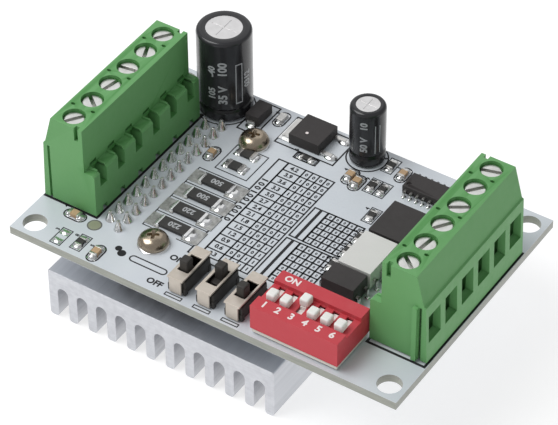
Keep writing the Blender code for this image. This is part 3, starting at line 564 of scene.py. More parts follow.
BRONZE = plated("dull_bronze_spring", (0.34, 0.20, 0.13), (0.26, 0.15, 0.10), (0.34, 0.5))
CAGE_ZINC = plated("satin_zinc_plate", (0.66, 0.66, 0.64), (0.54, 0.54, 0.51), (0.30, 0.46))
CAN_ALUMINIUM = plated("can_top_aluminium", (0.80, 0.79, 0.79), (0.72, 0.71, 0.71), (0.30, 0.44))
TIN = plated("tinned_leads", (0.70, 0.69, 0.67), (0.56, 0.55, 0.53), (0.26, 0.42))


SOLDER = plated(
    "set_solder", (0.86, 0.87, 0.88), (0.70, 0.70, 0.69), (0.10, 0.24), 1.0, (900.0, 0.8),
    (1200.0, 500.0), 0.00004, 0.4,
)
DULL_SOLDER = plated(
    "reflowed_pad_solder", (0.56, 0.56, 0.55), (0.30, 0.30, 0.29), (0.38, 0.60), 0.75,
    (1400.0, 1.0), (1600.0, 1200.0), 0.00008, 0.6,
)
SWITCH_SHEET = plated(
    "warm_tinned_sheet", (0.56, 0.50, 0.43), (0.63, 0.57, 0.50), (0.38, 0.55), 0.35,
    (500.0, 0.9), (1300.0, 2600.0), 0.00002, dust=0.1,
)


# Heatsink

FIN_COUNT = 12
FIN_THICKNESS = 1.78
HEATSINK_BASE = 3.3
FIN_TIP_ROUND = 0.62
ARC_STEPS = 8


def arc(x, y, radius, first, last, steps=ARC_STEPS):
    """Points on an arc between two angles in degrees."""
    angles = [math.radians(first + (last - first) * step / steps) for step in range(steps + 1)]
    return [(x + radius * math.cos(angle), y + radius * math.sin(angle)) for angle in angles]


def heatsink_section(length, height):
    """The extrusion's section: rounded fins pointing down, half-round roofs between them."""
    slot = (length - FIN_COUNT * FIN_THICKNESS) / (FIN_COUNT - 1)
    roof = height - HEATSINK_BASE - slot / 2
    points = []
    for index in range(FIN_COUNT):
        left = -length / 2 + index * (FIN_THICKNESS + slot)
        right = left + FIN_THICKNESS
        tip = FIN_TIP_ROUND
        points += arc(left + tip, tip, tip, 180, 270, 5)
        points += arc(right - tip, tip, tip, 270, 360, 5)
        if index < FIN_COUNT - 1:
            points += arc(right + slot / 2, roof, slot / 2, 180, 0, 12)
    points += arc(length / 2 - 0.3, height - 0.3, 0.3, 0, 90, 4)
    points += arc(-length / 2 + 0.3, height - 0.3, 0.3, 90, 180, 4)
    return points


def make_heatsink():
    low, high, middle = node_box("heatsink")
    shape = prism(heatsink_section(high.x - low.x, high.z - low.z), low.y, high.y)
    ends = [edge for edge in shape.edges if abs(edge.verts[0].co.z - edge.verts[1].co.z) < 0.01]
    soften(shape, ends, 0.07, 1)
    placed(shape, (middle.x, 0, low.z), math.pi / 2, "X")
    bores = []
    for end in ("front", "back"):
        foot, _, screw = node_box(f"heatsink_screw_{end}")
        bores.append(placed(rod(1.6, foot.z, high.z + 1, 28), (screw.x, screw.y, 0)))
    finish_piece(
        "heatsink_extrusion", [carved(shape, bores)], [HEATSINK_FINISH], ["heatsink"]
    )


# Heatsink screws

PHILLIPS_ARM = 1.45
PHILLIPS_BLADE = 0.34
PHILLIPS_DEPTH = 1.25
PAN_HEAD_HEIGHT = 1.87


def phillips_recess(top):
    """Two tapered blades that cross, as a driver leaves them."""
    blades = []
    for turn in (0, math.pi / 2):
        blade = block((-PHILLIPS_ARM, -PHILLIPS_BLADE, top - PHILLIPS_DEPTH),
                      (PHILLIPS_ARM, PHILLIPS_BLADE, top + 1))
        for corner in blade.verts:
            if corner.co.z < top:
                corner.co.x *= 0.42
                corner.co.y *= 0.7
        blades.append(placed(blade, turn=turn))
    return blades


def make_heatsink_screws():
    """Pan-headed screws with a cross recess, their shanks down in the heatsink."""
    for end, turn in (("front", 0.5), ("back", 0.28)):
        node = f"heatsink_screw_{end}"
        low, high, middle = node_box(node)
        head = high.z - PAN_HEAD_HEIGHT
        radius = (high.x - low.x) / 2
        profile = [(0, low.z), (0.9, low.z), (1.45, low.z + 0.8), (1.45, head)]
        profile += [(radius - 0.12, head), (radius, head + 0.12), (radius, head + 0.42)]
        dome = (0.97, 0.60), (0.90, 1.02), (0.78, 1.40), (0.60, 1.66), (0.38, 1.80), (0.16, 1.86)
        profile += [(share * radius, head + rise) for share, rise in dome]
        shape = carved(turned(profile + [(0, high.z)], 56), phillips_recess(high.z))
        soften(shape, edges_above(sharp_edges(shape, 40), head + 0.5), 0.05)
        placed(shape, (middle.x, middle.y, 0), turn)
        ring = [(1.7, 0.0), (2.75, 0.0), (2.62, 0.12), (2.4, 0.26), (1.7, 0.26), (1.7, 0.0)]
        pad = placed(turned(ring, 40), (middle.x, middle.y, 0))
        finish_piece(
            f"{node}_plated", [shape, *painted(1, pad)], [NICKEL, SOLDER], [node]
        )


# Driver chip and its soldered leads

LEAD_PITCH = 1.27
LEAD_COUNT = 25
LEAD_HALF = 0.25
CHIP_LENGTH = 15.5
CHIP_HEIGHT = 4.5
CHIP_NOTCH = 1.75


def lead_places():
    """Leads of the driver chip, odd and even ones in two rows."""
    low, _, middle = node_box("driver_chip")
    outer = low.x + LEAD_HALF
    first = middle.y - (LEAD_COUNT - 1) / 2 * LEAD_PITCH
    return [
        (outer if index % 2 else outer + 2 * LEAD_PITCH, first + index * LEAD_PITCH)
        for index in range(LEAD_COUNT)
    ]


def make_driver_chip():
    """The package flat on the heatsink, notched for both screws, with its bent leads."""
    low, high, _ = node_box("driver_chip")
    left = high.x - CHIP_LENGTH
    floor = node_box("heatsink")[1].z + 0.3
    roof = floor + CHIP_HEIGHT
    cutters = []
    for side, end in ((-1, "front"), (1, "back")):
        x, y, _ = node_middle(f"heatsink_screw_{end}")
        corner = (x - CHIP_NOTCH, y, floor - 1)
        cutters.append(block(corner, (x + CHIP_NOTCH, y + side * 10, roof + 1)))
        cutters.append(placed(rod(CHIP_NOTCH, floor - 1, roof + 1), (x, y, 0)))
    body = carved(block((left, low.y, floor), (high.x, high.y, roof), 0.18), cutters)
    corner = (left + 1.0, low.y + 0.02, floor - 0.05)
    metal = [block(corner, (high.x - 0.8, high.y - 0.02, floor + 0.7))]
    run = (floor + roof) / 2
    for x, y in lead_places():
        corner = (x - LEAD_HALF, y - 0.3, run - LEAD_HALF)
        for end_x, end_z in ((left + 0.3, run + LEAD_HALF), (x + LEAD_HALF, high.z)):
            metal.append(block(corner, (end_x, y + 0.3, end_z), 0.06, 1))
    finish_piece(
        "driver_chip_package", [body, *painted(1, *metal)], [BLACK_EPOXY, TIN],
        ["driver_chip"],
    )


def solder_cone(height, radius):
    """A wicked-up fillet round a lead, standing on its ring."""
    rises = ((1.0, 0.0), (0.99, 0.04), (0.90, 0.13), (0.75, 0.30), (0.60, 0.50), (0.47, 0.68),
             (0.36, 0.82), (0.28, 0.92), (0.24, 0.99), (0.12, 1.02))
    profile = [(0, -0.02)] + [(share * radius, rise * height) for share, rise in rises]
    return turned(profile + [(0, 1.03 * height)], 16)


def make_lead_solder():
    cones = []
    for x, y in lead_places():
        height = random.uniform(1.70, 1.95)
        cone = solder_cone(height, random.uniform(0.92, 1.02))
        lean = random.uniform(-0.05, 0.05)
        cones.append(placed(cone, (x, y, 0.01), lean, "Y"))
        cones.append(placed(solder_cone(0.28, 0.8), (x, y, BOARD_BOTTOM), math.pi, "X"))
    finish_piece("driver_lead_solder", cones, [SOLDER], even=False)


# Terminal blocks

NUMBERS = range(1, 7)  # both the poles of a block and the ways of the DIP switch
POLES = [(side, number) for side in ("left", "right") for number in NUMBERS]
SLOT_ANGLES = {"left": (55, 141, 79, 9, 113, 55), "right": (141, 82, 55, 33, 51, 16)}


def make_terminal_blocks():
    """Housings with pairs of dimples in the top and collars at the inner slots."""
    for side, offsets in (("left", (-2.05, 1.95)), ("right", (-2.35, 1.65))):
        node = f"terminal_block_{side}"
        top = node_box(node)[1].z
        holes = []
        for number in (1, 3, 5):
            first, second = (node_middle(f"clamp_screw_{side}_{number + n}") for n in (0, 1))
            for offset in offsets:
                hole = rod(0.34, top - 0.9, top + 1, 16, 0.42)
                bmesh.ops.scale(hole, vec=(1.1, 0.72, 1), verts=hole.verts)
                holes.append(placed(hole, (first.x + offset, (first.y + second.y) / 2, 0)))
        shape = carved(node_shape(node, 0.11, 2, 40), [joined(holes)])
        parts = [shape, *make_slot_hoods(side)]
        finish_piece(f"{node}_housing", parts, [GREEN_POLYAMIDE], [node])


STEP_HEIGHT = 9.0
STEP_DEPTH = 2.05
SLOT_WIDTH = 1.9
HOOD_RISE = 0.32
HOOD_WALL = 0.36
CHEESE_HEAD_HEIGHT = 2.1
THREAD_PITCH = 0.45
DRIVER_SLOT = 0.66


def make_slot_hoods(side):
    """The raised collar that frames each inner slot where it comes out on the step."""
    low, high, _ = node_box(f"terminal_block_{side}")
    face, inward = (high.x, -1) if side == "left" else (low.x, 1)
    near, far = face + inward * 0.45, face + inward * (STEP_DEPTH + 0.3)
    slot_half = SLOT_WIDTH / 2
    half = slot_half + HOOD_WALL
    hoods = []
    for number in NUMBERS:
        y = node_middle(f"clamp_screw_{side}_{number}").y
        top = (far, y + half, STEP_HEIGHT + HOOD_RISE)
        hood = block((near, y - half, STEP_HEIGHT - 0.3), top)
        soften(hood, edges_above(hood.edges, STEP_HEIGHT), 0.22, 3)
        slot = block((near - inward, y - slot_half, STEP_HEIGHT - 1),
                     (far - inward * 0.35, y + slot_half, STEP_HEIGHT + 2))
        hoods.append(carved(hood, [slot]))
    return hoods


def clamp_screw_shape():
    """A cheese-headed screw: chamfered head, slot, threaded shank."""
    low, high, _ = node_box("clamp_screw_right_1")
    top, tip = high.z, low.z
    head = top - CHEESE_HEAD_HEIGHT
    profile = [(0, tip), (0.95, tip), (1.2, tip + 0.25)]
    for turn in range(int((head - tip - 0.6) / THREAD_PITCH)):
        start = tip + 0.3 + turn * THREAD_PITCH
        profile += [(1.25, start), (1.25, start + 0.08), (1.08, start + 0.2), (1.08, start + 0.26)]
    profile += [(1.2, head - 0.1), (1.2, head), (1.80, head), (1.85, head + 0.06)]
    profile += [(1.85, top - 0.26), (1.79, top - 0.12), (1.66, top - 0.03), (1.5, top), (0, top)]
    half = DRIVER_SLOT / 2
    slot = block((-3, -half, top - 1.1), (3, half, top + 1))
    shape = carved(turned(profile, 40), [slot])
    rim = [edge for edge in edges_above(sharp_edges(shape, 40), top - 0.3)
           if all(abs(corner.co.y) < half + 0.02 for corner in edge.verts)]
    return soften(shape, rim, 0.04)


def make_clamps():
    screw = clamp_screw_shape()
    cage = node_shape("clamp_cage_right_1", 0.07)
    cage_middle = node_middle("clamp_cage_right_1")
    for side, number in POLES:
        node = f"clamp_screw_{side}_{number}"
        x, y, _ = node_middle(node)
        turn = math.radians(SLOT_ANGLES[side][number - 1])
        shape = placed(screw.copy(), (x, y, 0), turn)
        finish_piece(f"{node}_plated", [shape], [ZINC], [node], node)
        node = f"clamp_cage_{side}_{number}"
        shape = placed(cage.copy(), node_middle(node) - cage_middle)
        finish_piece(f"{node}_plated", [shape], [CAGE_ZINC], [node], node)
    screw.free()
    cage.free()


def make_block_contacts():
    """Contact strips behind the wire entries, and their pins soldered under the board."""
    strips, springs, joints = [], [], []
    for side, number in POLES:
        x, y, _ = node_middle(f"clamp_cage_{side}_{number}")
        sign = 1 if side == "right" else -1
        inner = x - sign * 2.2
        strips.append(block((inner, y - 1.1, 0.35), (inner + sign * 0.4, y + 1.1, 2.0), 0.05, 1))
        strips.append(block((x - 0.5, y - 0.4, -3.3), (x + 0.5, y + 0.4, 0.5), 0.08, 1))
        low, high, _ = node_box(f"terminal_block_{side}")
        deep = (high.x if side == "left" else low.x) + sign * 2.25
        top = (deep - sign * 0.22, y - 0.12, 8.9)
        springs.append(block((deep, y - 0.92, 5.9), top, 0.05, 1))
        joints.append(placed(solder_cone(1.1, 1.25), (x, y, BOARD_BOTTOM), math.pi, "X"))
    parts = [*strips, *painted(2, *springs), *painted(1, *joints)]
    finish_piece("terminal_pins", parts, [TIN, SOLDER, BRONZE])


# DIP switch

SLIDER_TOP = 4.76


def make_dip_switch():
    """The foot, the shell with its printing and window lips, and the six sliders."""
    node = "dip_switch_base"
    finish_piece("dip_switch_foot", [node_shape(node, 0.1)], [PALE_PLASTIC], [node])
    node = "dip_switch_housing"
    low, high, middle = node_box(node)
    parts = [node_shape(node, 0.10)]
    channel = high.z - 0.8
    print_z = (high.z - 0.02, high.z + 0.02)
    for number in NUMBERS:
        x = node_middle(f"dip_actuator_{number}").x
        parts += painted(1, lettering(str(number), 1.85, (x, low.y + 1.35), 0, *print_z))
        for side in (-1, 1):
            lip = slab(x + side * 0.80, middle.y, 0.36, 4.3, channel - 0.42, channel - 0.005)
            parts.append(lip)
    parts += painted(1, lettering("ON", 1.75, (low.x + 2.7, high.y - 1.35), 0, *print_z))
    finish_piece("dip_switch_shell", parts, [RED_PLASTIC, WHITE_INK], [node])
    for number in NUMBERS:
        make_dip_actuator(f"dip_actuator_{number}")


def make_dip_actuator(node):
    """A slider with a ridge, and a rounded nib that stands through the window."""
    low, high, middle = node_box(node)
    x, y, _ = middle
    parts = [
        block(low, (high.x, high.y, SLIDER_TOP - 0.9), 0.08, 1),
        slab(x, y, 1.16, high.y - low.y + 0.4, SLIDER_TOP - 1.0, SLIDER_TOP, 0.12),
        slab(x, y, 1.12, 2.0, SLIDER_TOP - 1.1, 5.4, 0.12),
        slab(x, y, 1.64, 1.9, 5.34, high.z + 0.05, 0.34, 4),
    ]
    finish_piece(f"{node}_slider", parts, [WHITE_NYLON], [node], node)


# Slide switches


def make_slide_switches():
    """Three switches: a footed tray, a sheet frame with a window, and a knob."""
    for number in (1, 2, 3):
        node = f"slide_switch_base_{number}"
        low, high, middle = node_box(node)
        reach = (high.y - low.y) / 2 - 0.3
        parts = [node_shape(node, 0.08)]
        for x in (middle.x - 1.45, middle.x + 1.45):
            for y in (middle.y - reach, middle.y + reach):
                parts.append(slab(x, y, 0.55, 0.9, 0.02, 1.5, 0.12))
        finish_piece(f"slide_switch_tray_{number}", parts, [BLACK_NYLON], [node])
        node = f"slide_switch_frame_{number}"
        _, high, middle = node_box(node)
        window = slab(middle.x + 0.62, middle.y, 1.1, 4.15, high.z - 0.6, high.z + 1)
        parts = [carved(node_shape(node, 0.07), [window])]
        finish_piece(f"slide_switch_sheet_{number}", parts, [SWITCH_SHEET], [node])
        node = f"slide_switch_knob_{number}"
        _, high, middle = node_box(node)
        grip = slab(middle.x + 0.12, middle.y, 1.66, 1.76, high.z - 3.0, high.z + 0.03, 0.3, 3)
        parts = [node_shape(node, 0.3, 3), grip]
        finish_piece(f"{node}_grip", parts, [BLACK_NYLON], [node], node)


# Capacitors

CRIMP_HEIGHT = 2.5


def curved_patch(radius, first, last, low, high):
    """A thin printed patch on a sleeve, between two angles in degrees."""
    shape = bmesh.new()
    inner, outer = radius - 0.02, radius + 0.02
    corners = ((inner, low), (outer, low), (outer, high), (inner, high))
    face = shape.faces.new([shape.verts.new((across, 0, z)) for across, z in corners])
    placed(shape, turn=math.radians(first))
    bmesh.ops.spin(
        shape, geom=[face], cent=(0, 0, 0), axis=(0, 0, 1), angle=math.radians(last - first),
        steps=max(2, round((last - first) / 6)), use_duplicate=False,
    )
    return outward(shape)


def wrapped(text, size, radius, angle, height):
    """Figures printed up a sleeve: one line, turned to read along its length."""
    shape = lettering(text, size, (0, 0), math.pi / 2, -0.02, 0.02)
    spacing = size * 0.25
    while True:
        long = [edge for edge in shape.edges if edge.calc_length() > spacing]
        if not long:
            break
        bmesh.ops.subdivide_edges(shape, edges=long, cuts=1)
    for corner in shape.verts:
        turn = math.radians(angle) + corner.co.x / radius
        out = radius + corner.co.z
        corner.co = Vector((out * math.cos(turn), out * math.sin(turn), height + corner.co.y))
    return shape


def make_capacitor(node, prints, figures):
    """A sleeved can with a rolled shoulder, a crimped foot and a scored top."""
    low, high, middle = node_box(node)
    radius, top = (high.x - low.x) / 2, high.z
    groove = CRIMP_HEIGHT
    sleeve = [(0, low.z), (radius - 0.35, low.z), (radius - 0.08, low.z + 0.12)]
    sleeve += [(radius, low.z + 0.4), (radius, groove - 0.55), (radius - 0.1, groove - 0.3)]
    sleeve += [(radius - 0.3, groove), (radius - 0.1, groove + 0.3), (radius, groove + 0.55)]
    sleeve += [(radius, top - 0.75), (radius - 0.05, top - 0.45), (radius - 0.2, top - 0.2)]
    sleeve += [(radius - 0.45, top - 0.05), (0.80 * radius, top), (0.70 * radius, top - 0.01)]
    sleeve += [(0.66 * radius, top - 0.06), (0.655 * radius, top - 0.2), (0, top - 0.2)]
    disc = [(0, top - 0.6), (0.68 * radius, top - 0.6), (0.68 * radius, top - 0.12)]
    disc += [(0.6 * radius, top - 0.10), (0, top - 0.10)]
    sizes = ((radius, 0.14), (0.14, radius))
    scores = [slab(0, 0, *size, top - 0.17, top + 1) for size in sizes]
    marks = [curved_patch(radius, *patch) for patch in prints]
    marks += [wrapped(text, size, radius, angle, z) for text, size, angle, z in figures]
    can_top = carved(turned(disc, 64), scores)
    parts = [turned(sleeve, 72), *painted(1, can_top), *painted(2, *marks)]
    for part in parts:
        placed(part, (middle.x, middle.y, 0))
    finishes = [BLACK_SLEEVE, CAN_ALUMINIUM, GREY_INK]
    finish_piece(f"{node}_can", parts, finishes, [node])


def make_capacitors():
    lines = [(-34, -32, 4.0, 12.6), (-20, -18, 4.0, 12.6)]
    ends = [(-34, -18, 4.0, 4.25), (-34, -18, 12.4, 12.6)]
    rating = [("35 V", 2.1, -60, 6.2), ("100", 2.1, -60, 11.8), ("105", 1.7, -83, 6.4),
              ("-40", 1.7, -83, 11.2), ("0312", 1.7, -5, 8.6)]
    make_capacitor("large_capacitor", lines + ends, rating)
    lines = [(-36, -33, 3.4, 9.4), (-20, -17, 3.4, 9.4)]
    make_capacitor("small_capacitor", lines, [("10", 1.7, -70, 9.4), ("50 V", 1.7, -70, 5.4)])


# Packages on the board

OPTOCOUPLER_HALF = 3.1


def mound(x, y, size_x, size_y, rise):
    """A low solder mound on a pad."""
    profile = [(0, -0.01), (1.0, -0.01), (0.98, 0.25), (0.8, 0.6), (0.5, 0.88), (0.2, 0.99), (0, 1.0)]
    shape = turned(profile, 16)
    bmesh.ops.scale(shape, vec=(size_x / 2, size_y / 2, rise), verts=shape.verts)
    return placed(shape, (x, y, 0))


def gull_leg(x, y, out_x, out_y, width, reach, run_z, thickness):
    """A leg out of a body's side: a run, a drop and a soldered foot. (out_x, out_y) points out."""
    half = width / 2
    corner = (reach, half, run_z + thickness)
    run = block((-0.4, -half, run_z), corner, 0.04, 1)
    drop = block((reach - thickness, -half, 0.02), corner, 0.04, 1)
    fillet = mound(reach - thickness / 2, 0, 1.1, width + 0.35, 0.32)
    turn = math.atan2(out_y, out_x)
    parts = [*painted(1, run, drop), *painted(2, fillet)]
    return [placed(part, (x, y, 0), turn) for part in parts]


def finish_package(node, parts, epoxy=BLACK_EPOXY, more=()):
    finish_piece(f"{node}_package", parts, [epoxy, TIN, SOLDER, *more], [node])


def make_optocouplers():
    for end, legs, pitch in (("front", 2, 2.54), ("middle", 4, 2.1), ("back", 4, 2.1)):
        node = f"optocoupler_{end}"
        low, high, middle = node_box(node)
        half = OPTOCOUPLER_HALF
        body = block((middle.x - half, low.y, 0.6), (middle.x + half, high.y, high.z), 0.14)
        parts = [body]
        for index in range(legs):
            y = middle.y + (index - (legs - 1) / 2) * pitch
            for side in (-1, 1):
                parts += gull_leg(middle.x + side * half, y, side, 0, 0.6, 0.7, 1.9, 0.3)
        if end == "middle":
            finish_package(node, parts, WHITE_EPOXY)
        else:
            finish_package(node, parts)


def make_logic_chip():
    low, high, middle = node_box("logic_chip")
    body = slab(middle.x, middle.y, 9.9, 3.9, 0.3, high.z, 0.12)
    notch = placed(rod(0.5, high.z - 0.12, high.z + 1, 20), (low.x + 0.9, middle.y - 1.1, 0))
    parts = [carved(body, [notch])]
    for index in range(8):
        x = middle.x + (index - 3.5) * 1.2
        for side in (-1, 1):
            parts += gull_leg(x, middle.y + side * 1.95, 0, side, 0.4, 0.8, 0.9, 0.25)
    finish_package("logic_chip", parts)


def make_regulator():
    """A flat power package: cut-corner body, tab on one side, two legs on the other."""
    low, high, middle = node_box("regulator")
    x, y = low.x + 1.4 + 3.05, middle.y
    parts = [slab(x, y, 6.1, 6.2, 0.12, high.z, 0.16)]
    parts += painted(1, slab(low.x + 1.0, y, 2.4, 5.2, 0.05, 0.9, 0.08))
    parts += painted(2, slab(low.x + 0.6, y, 2.9, 6.0, -0.01, 0.22, 0.1))
    for leg_y in (y - 2.285, y + 2.285):
        parts += painted(1, slab(high.x - 1.4, leg_y, 2.8, 0.8, 0.1, 0.62, 0.08))
        parts += painted(2, mound(high.x - 0.3, leg_y, 2.6, 1.9, 0.5))
    dot = rod(0.28, high.z - 0.05, high.z + 0.015, 16)
    parts += painted(3, placed(dot, (x - 0.4, y - 1.3, 0)))
    finish_package("regulator", parts, more=[WHITE_INK])


def make_diode():
    _, high, middle = node_box("power_diode")
    x = middle.x
    parts = [slab(x, middle.y, 2.7, 4.5, 0.12, high.z, 0.2)]
    for side in (-1, 1):
        y = middle.y + side * 2.35
        parts += painted(1, slab(x, y, 1.5, 0.6, 0.05, 1.1, 0.08))
        parts += painted(2, mound(x, y + side * 0.3, 2.2, 1.5, 0.45))
    finish_package("power_diode", parts)


def make_shunts():
    """Power resistors: black face, wrapped metal ends, broad soldered pads."""
    for number in (1, 2, 3, 4):
        node = f"shunt_resistor_{number}"
        low, high, middle = node_box(node)
        y, top = middle.y, high.z
        left, right = low.x + 0.5, high.x - 0.55
        face = block((left, y - 1.2, 0.12), (right, y + 1.2, top), 0.07)
        ends = [block((a, y - 1.25, 0.08), (b, y + 1.25, top - 0.04), 0.08)
                for a, b in ((low.x, left + 0.2), (right - 0.2, high.x))]
        pads = [block((left - 2.6, y - 1.55, -0.01), (left + 0.3, y + 1.55, 0.16), 0.08),
                block((right - 0.3, y - 1.75, -0.01), (right + 2.85, y + 1.75, 0.20), 0.09),
                mound(left - 0.4, y, 1.6, 2.8, 0.42)]
        ends.append(mound(right + 0.9, y - 0.3, 2.3, 2.6, 0.5))
        value = "500" if number < 3 else "220"
        at = ((left + right) / 2, y)
        figures = lettering(value, 1.5, at, math.pi, top - 0.03, top + 0.012)
        parts = [face, *painted(1, *ends), *painted(3, *pads), *painted(2, figures)]
        finishes = [BLACK_CERAMIC, SOLDER, GREY_INK, DULL_SOLDER]
        finish_piece(f"{node}_chip", parts, finishes, [node])


# (length, width, height, kind), then each one's x, y and turn in degrees
CHIP_GROUPS = (
    ((3.4, 1.8, 0.6, "dark"), (-14.2, 11.15, 0), (-14.2, 7.5, 0)),
    ((2.0, 1.25, 0.8, "tan"), (-19.5, 8.2, 90), (10.7, 21.1, 90)),
    ((2.0, 1.25, 0.7, "pale"), (-14.4, 22.1, 90)),
    ((2.0, 0.9, 0.5, "dark"), (-5.3, 15.75, 0)),
    ((2.2, 1.3, 0.9, "tan"), (3.4, 16.0, 90), (5.2, 15.2, 90)),
    ((2.0, 1.25, 0.5, "dark"), (7.8, 22.0, 90), (11.6, 9.6, 90), (12.9, 3.9, 90),
     (12.9, 0.2, 90), (12.6, -4.0, 90), (12.0, -12.4, 90), (-25.2, -21.9, 90)),
    ((2.0, 1.2, 0.5, "dark"), (7.8, 16.0, 90), (9.8, 16.0, 90)),
    ((2.2, 1.3, 0.8, "tan"), (-29.9, -17.0, 0), (-21.6, -22.6, 90)),
    ((2.2, 1.25, 0.4, "bare"), (-28.8, -22.4, 90)),
)
CHIP_PLACES = [(*place, *size) for size, *places in CHIP_GROUPS for place in places]


def chip_part(x, y, turn, length, width, height, kind):
    """A small two-ended chip part on its pads."""
    end = length * 0.22
    parts = []
    if kind != "bare":
        body = slab(0, 0, length - 2 * end + 0.1, width, 0.06, height, 0.05)
        parts += painted({"dark": 0, "tan": 3, "pale": 4}[kind], body)
    for side in (-1, 1):
        if kind != "bare":
            middle = side * (length / 2 - end / 2)
            parts += painted(1, slab(middle, 0, end, width + 0.04, 0.05, height + 0.02, 0.07))
        fillet = mound(side * (length / 2 + 0.05), 0, 1.25, width + 0.35, height * 0.7)
        pad = slab(side * (length / 2), 0, 1.3, width + 0.4, -0.01, 0.05, 0.02, 1)
        parts += painted(2, fillet, pad)
    return [placed(part, (x, y, 0), math.radians(turn)) for part in parts]


def make_small_chips():
    parts = []
    for place in CHIP_PLACES:
        parts += chip_part(*place)
    finishes = [BLACK_CERAMIC, TIN, SOLDER, TAN_CERAMIC, WHITE_EPOXY]
    finish_piece("small_chip_parts", parts, finishes)


# Printing on the board


def printed_line(x0, y0, x1, y1, width=0.28):
    """A straight printed line along X or Y."""
    half = width / 2
    low = (min(x0, x1) - half, min(y0, y1) - half, INK_FOOT)
    return block(low, (max(x0, x1) + half, max(y0, y1) + half, INK))


def printed_box(x0, y0, x1, y1, width=0.28):
    return band(((x0, y0), (x1, y0), (x1, y1), (x0, y1)), width)


def printed_ring(x, y, radius):
    return band(arc(x, y, radius, 0, 350, 35), 0.26)


def printed_oval(x, y, length, width, turn):
    """A line round a two-pad part: straight sides and round ends."""
    straight = length / 2 - width / 2
    outline = arc(straight, 0, width / 2, -90, 90) + arc(-straight, 0, width / 2, 90, 270)
    return placed(band(outline, 0.24), (x, y, 0), math.radians(turn))


def printed_nought(x, y, size):
    angles = [step * math.pi / 4 for step in range(8)]
    outline = [(x + size * 0.33 * math.cos(angle), y + size * 0.5 * math.sin(angle))
               for angle in angles]
    return band(outline, size * 0.2)


def printed_one(x, y, size):
    half = size * 0.13
    return block((x - half, y - size * 0.5, INK_FOOT), (x + half, y + size * 0.5, INK))


def printed_table(xs, ys, size, figures=True, line=0.26):
    """Ruled lines at xs and ys, with a nought or a one in each small cell."""
    marks = [printed_line(x, ys[0], x, ys[-1], line) for x in xs]
    marks += [printed_line(xs[0], y, xs[-1], y, line) for y in ys]
    if figures:
        for column, (left, right) in enumerate(zip(xs, xs[1:])):
            for row, (upper, lower) in enumerate(zip(ys, ys[1:])):
                make = printed_one if (row >> column) & 1 else printed_nought
                marks.append(make((left + right) / 2, (upper + lower) / 2, size))
    return marks


def spaced(first, last, count):
    return [first + (last - first) * index / count for index in range(count + 1)]


def setting_tables():
    """The large table of settings and the two smaller grids beside it."""
    rows = spaced(13.3, -13.3, 14)
    marks = printed_table(spaced(-3.75, 1.95, 4), rows, 0.8)
    marks += printed_table([-7.2, -3.75], rows, 0.6, figures=False)
    marks.append(printed_box(-9.3, -14.3, -7.1, 13.4))
    for row, (upper, lower) in enumerate(zip(rows, rows[1:])):
        value = f"{0.3 * (14 - row):.1f}"
        marks.append(lettering(value, 1.25, (-5.5, (upper + lower) / 2)))
    for index in range(11):
        make = printed_nought if index % 3 else printed_one
        marks.append(placed(make(0, 0, 1.25), (-8.2, 7.5 - index * 1.15, 0), math.pi / 2))
    for top, bottom, count in ((6.3, -1.8, 6), (-2.4, -12.6, 7)):
        rows = spaced(top, bottom, count)
        marks += printed_table(spaced(5.3, 12.3, 5), rows, 0.6, line=0.3)
        marks.append(printed_box(2.45, bottom - 0.1, 3.9, top + 0.1))
        marks.append(printed_box(3.9, bottom - 0.1, 5.3, top + 0.1, 0.24))
    return marks


def part_outlines():
    """Lines printed round the parts, with plain reference figures."""
    marks = []
    # A black band 0.45 wide just outside the foot of each terminal block.
    for side in ("left", "right"):
        low, high, _ = node_box(f"terminal_block_{side}")
        marks.append(printed_box(low.x - 0.25, low.y - 0.25, high.x + 0.25, high.y + 0.25, 0.45))
    marks += [printed_box(-12.5, 16.6, -0.5, 24.3), printed_box(-17.2, 5.5, -10.7, 12.6, 0.18),
              printed_box(-7.6, 14.9, -3.0, 16.6)]
    lines = [(-19.3, 4.2 - 4.22 * row, -9.4, 4.2 - 4.22 * row) for row in range(4)]
    lines += [(-19.3, 4.2, -19.3, -12.6), (-19.3, -12.6, -17.6, -12.6), (-12.5, -12.6, -9.4, -12.6)]
    marks += [printed_line(*line, 0.18) for line in lines]
    for size, radius in (("small", 3.75), ("large", 5.35)):
        x, y, _ = node_middle(f"{size}_capacitor")
        marks.append(trimmed(printed_ring(x, y, radius), 24.85))
    marks.append(printed_oval(-12.8, -20.3, 7.4, 1.5, 0))
    x, y, _ = node_middle("power_diode")
    marks.append(printed_box(x - 2.0, y - 4.2, x + 2.0, y + 4.2))
    for x in (-5.2, 0.3, 5.8):
        marks.append(printed_box(x - 1.65, -24.55, x + 1.65, -23.75, 0.18))
        marks.append(printed_line(x - 1.9, -14.6, x + 1.9, -14.6))
    marks.append(lettering("OFF", 1.7, (-9.6, -23.1)))
    marks.append(lettering("ON", 1.7, (-9.6, -16.6)))
    for radius, x, y in ((0.75, -18.1, -20.3), (0.6, -19.2, -19.6)):
        marks.append(placed(rod(radius, INK_FOOT, INK, 24), (x, y, 0)))
    for x, y, turn, length, width, _, kind in CHIP_PLACES[2:]:
        if kind in ("tan", "pale"):
            marks.append(printed_oval(x, y, length + 2.2, width + 1.1, turn))
        else:
            along, over = (length + 1.9) / 2, (width + 0.9) / 2
            half_x, half_y = (over, along) if turn else (along, over)
            marks.append(printed_box(x - half_x, y - half_y, x + half_x, y + half_y, 0.16))
        side = 1.55 if turn else 2.6
        figure = str(1 + round(abs(x)) % 9)
        marks.append(lettering(figure, 1.0, (x - side, y + 1.2), math.pi / 2))
    return marks


def make_printing():
    marks = setting_tables() + part_outlines()
    finish_piece("board_printing", marks, [BLACK_INK], even=False)


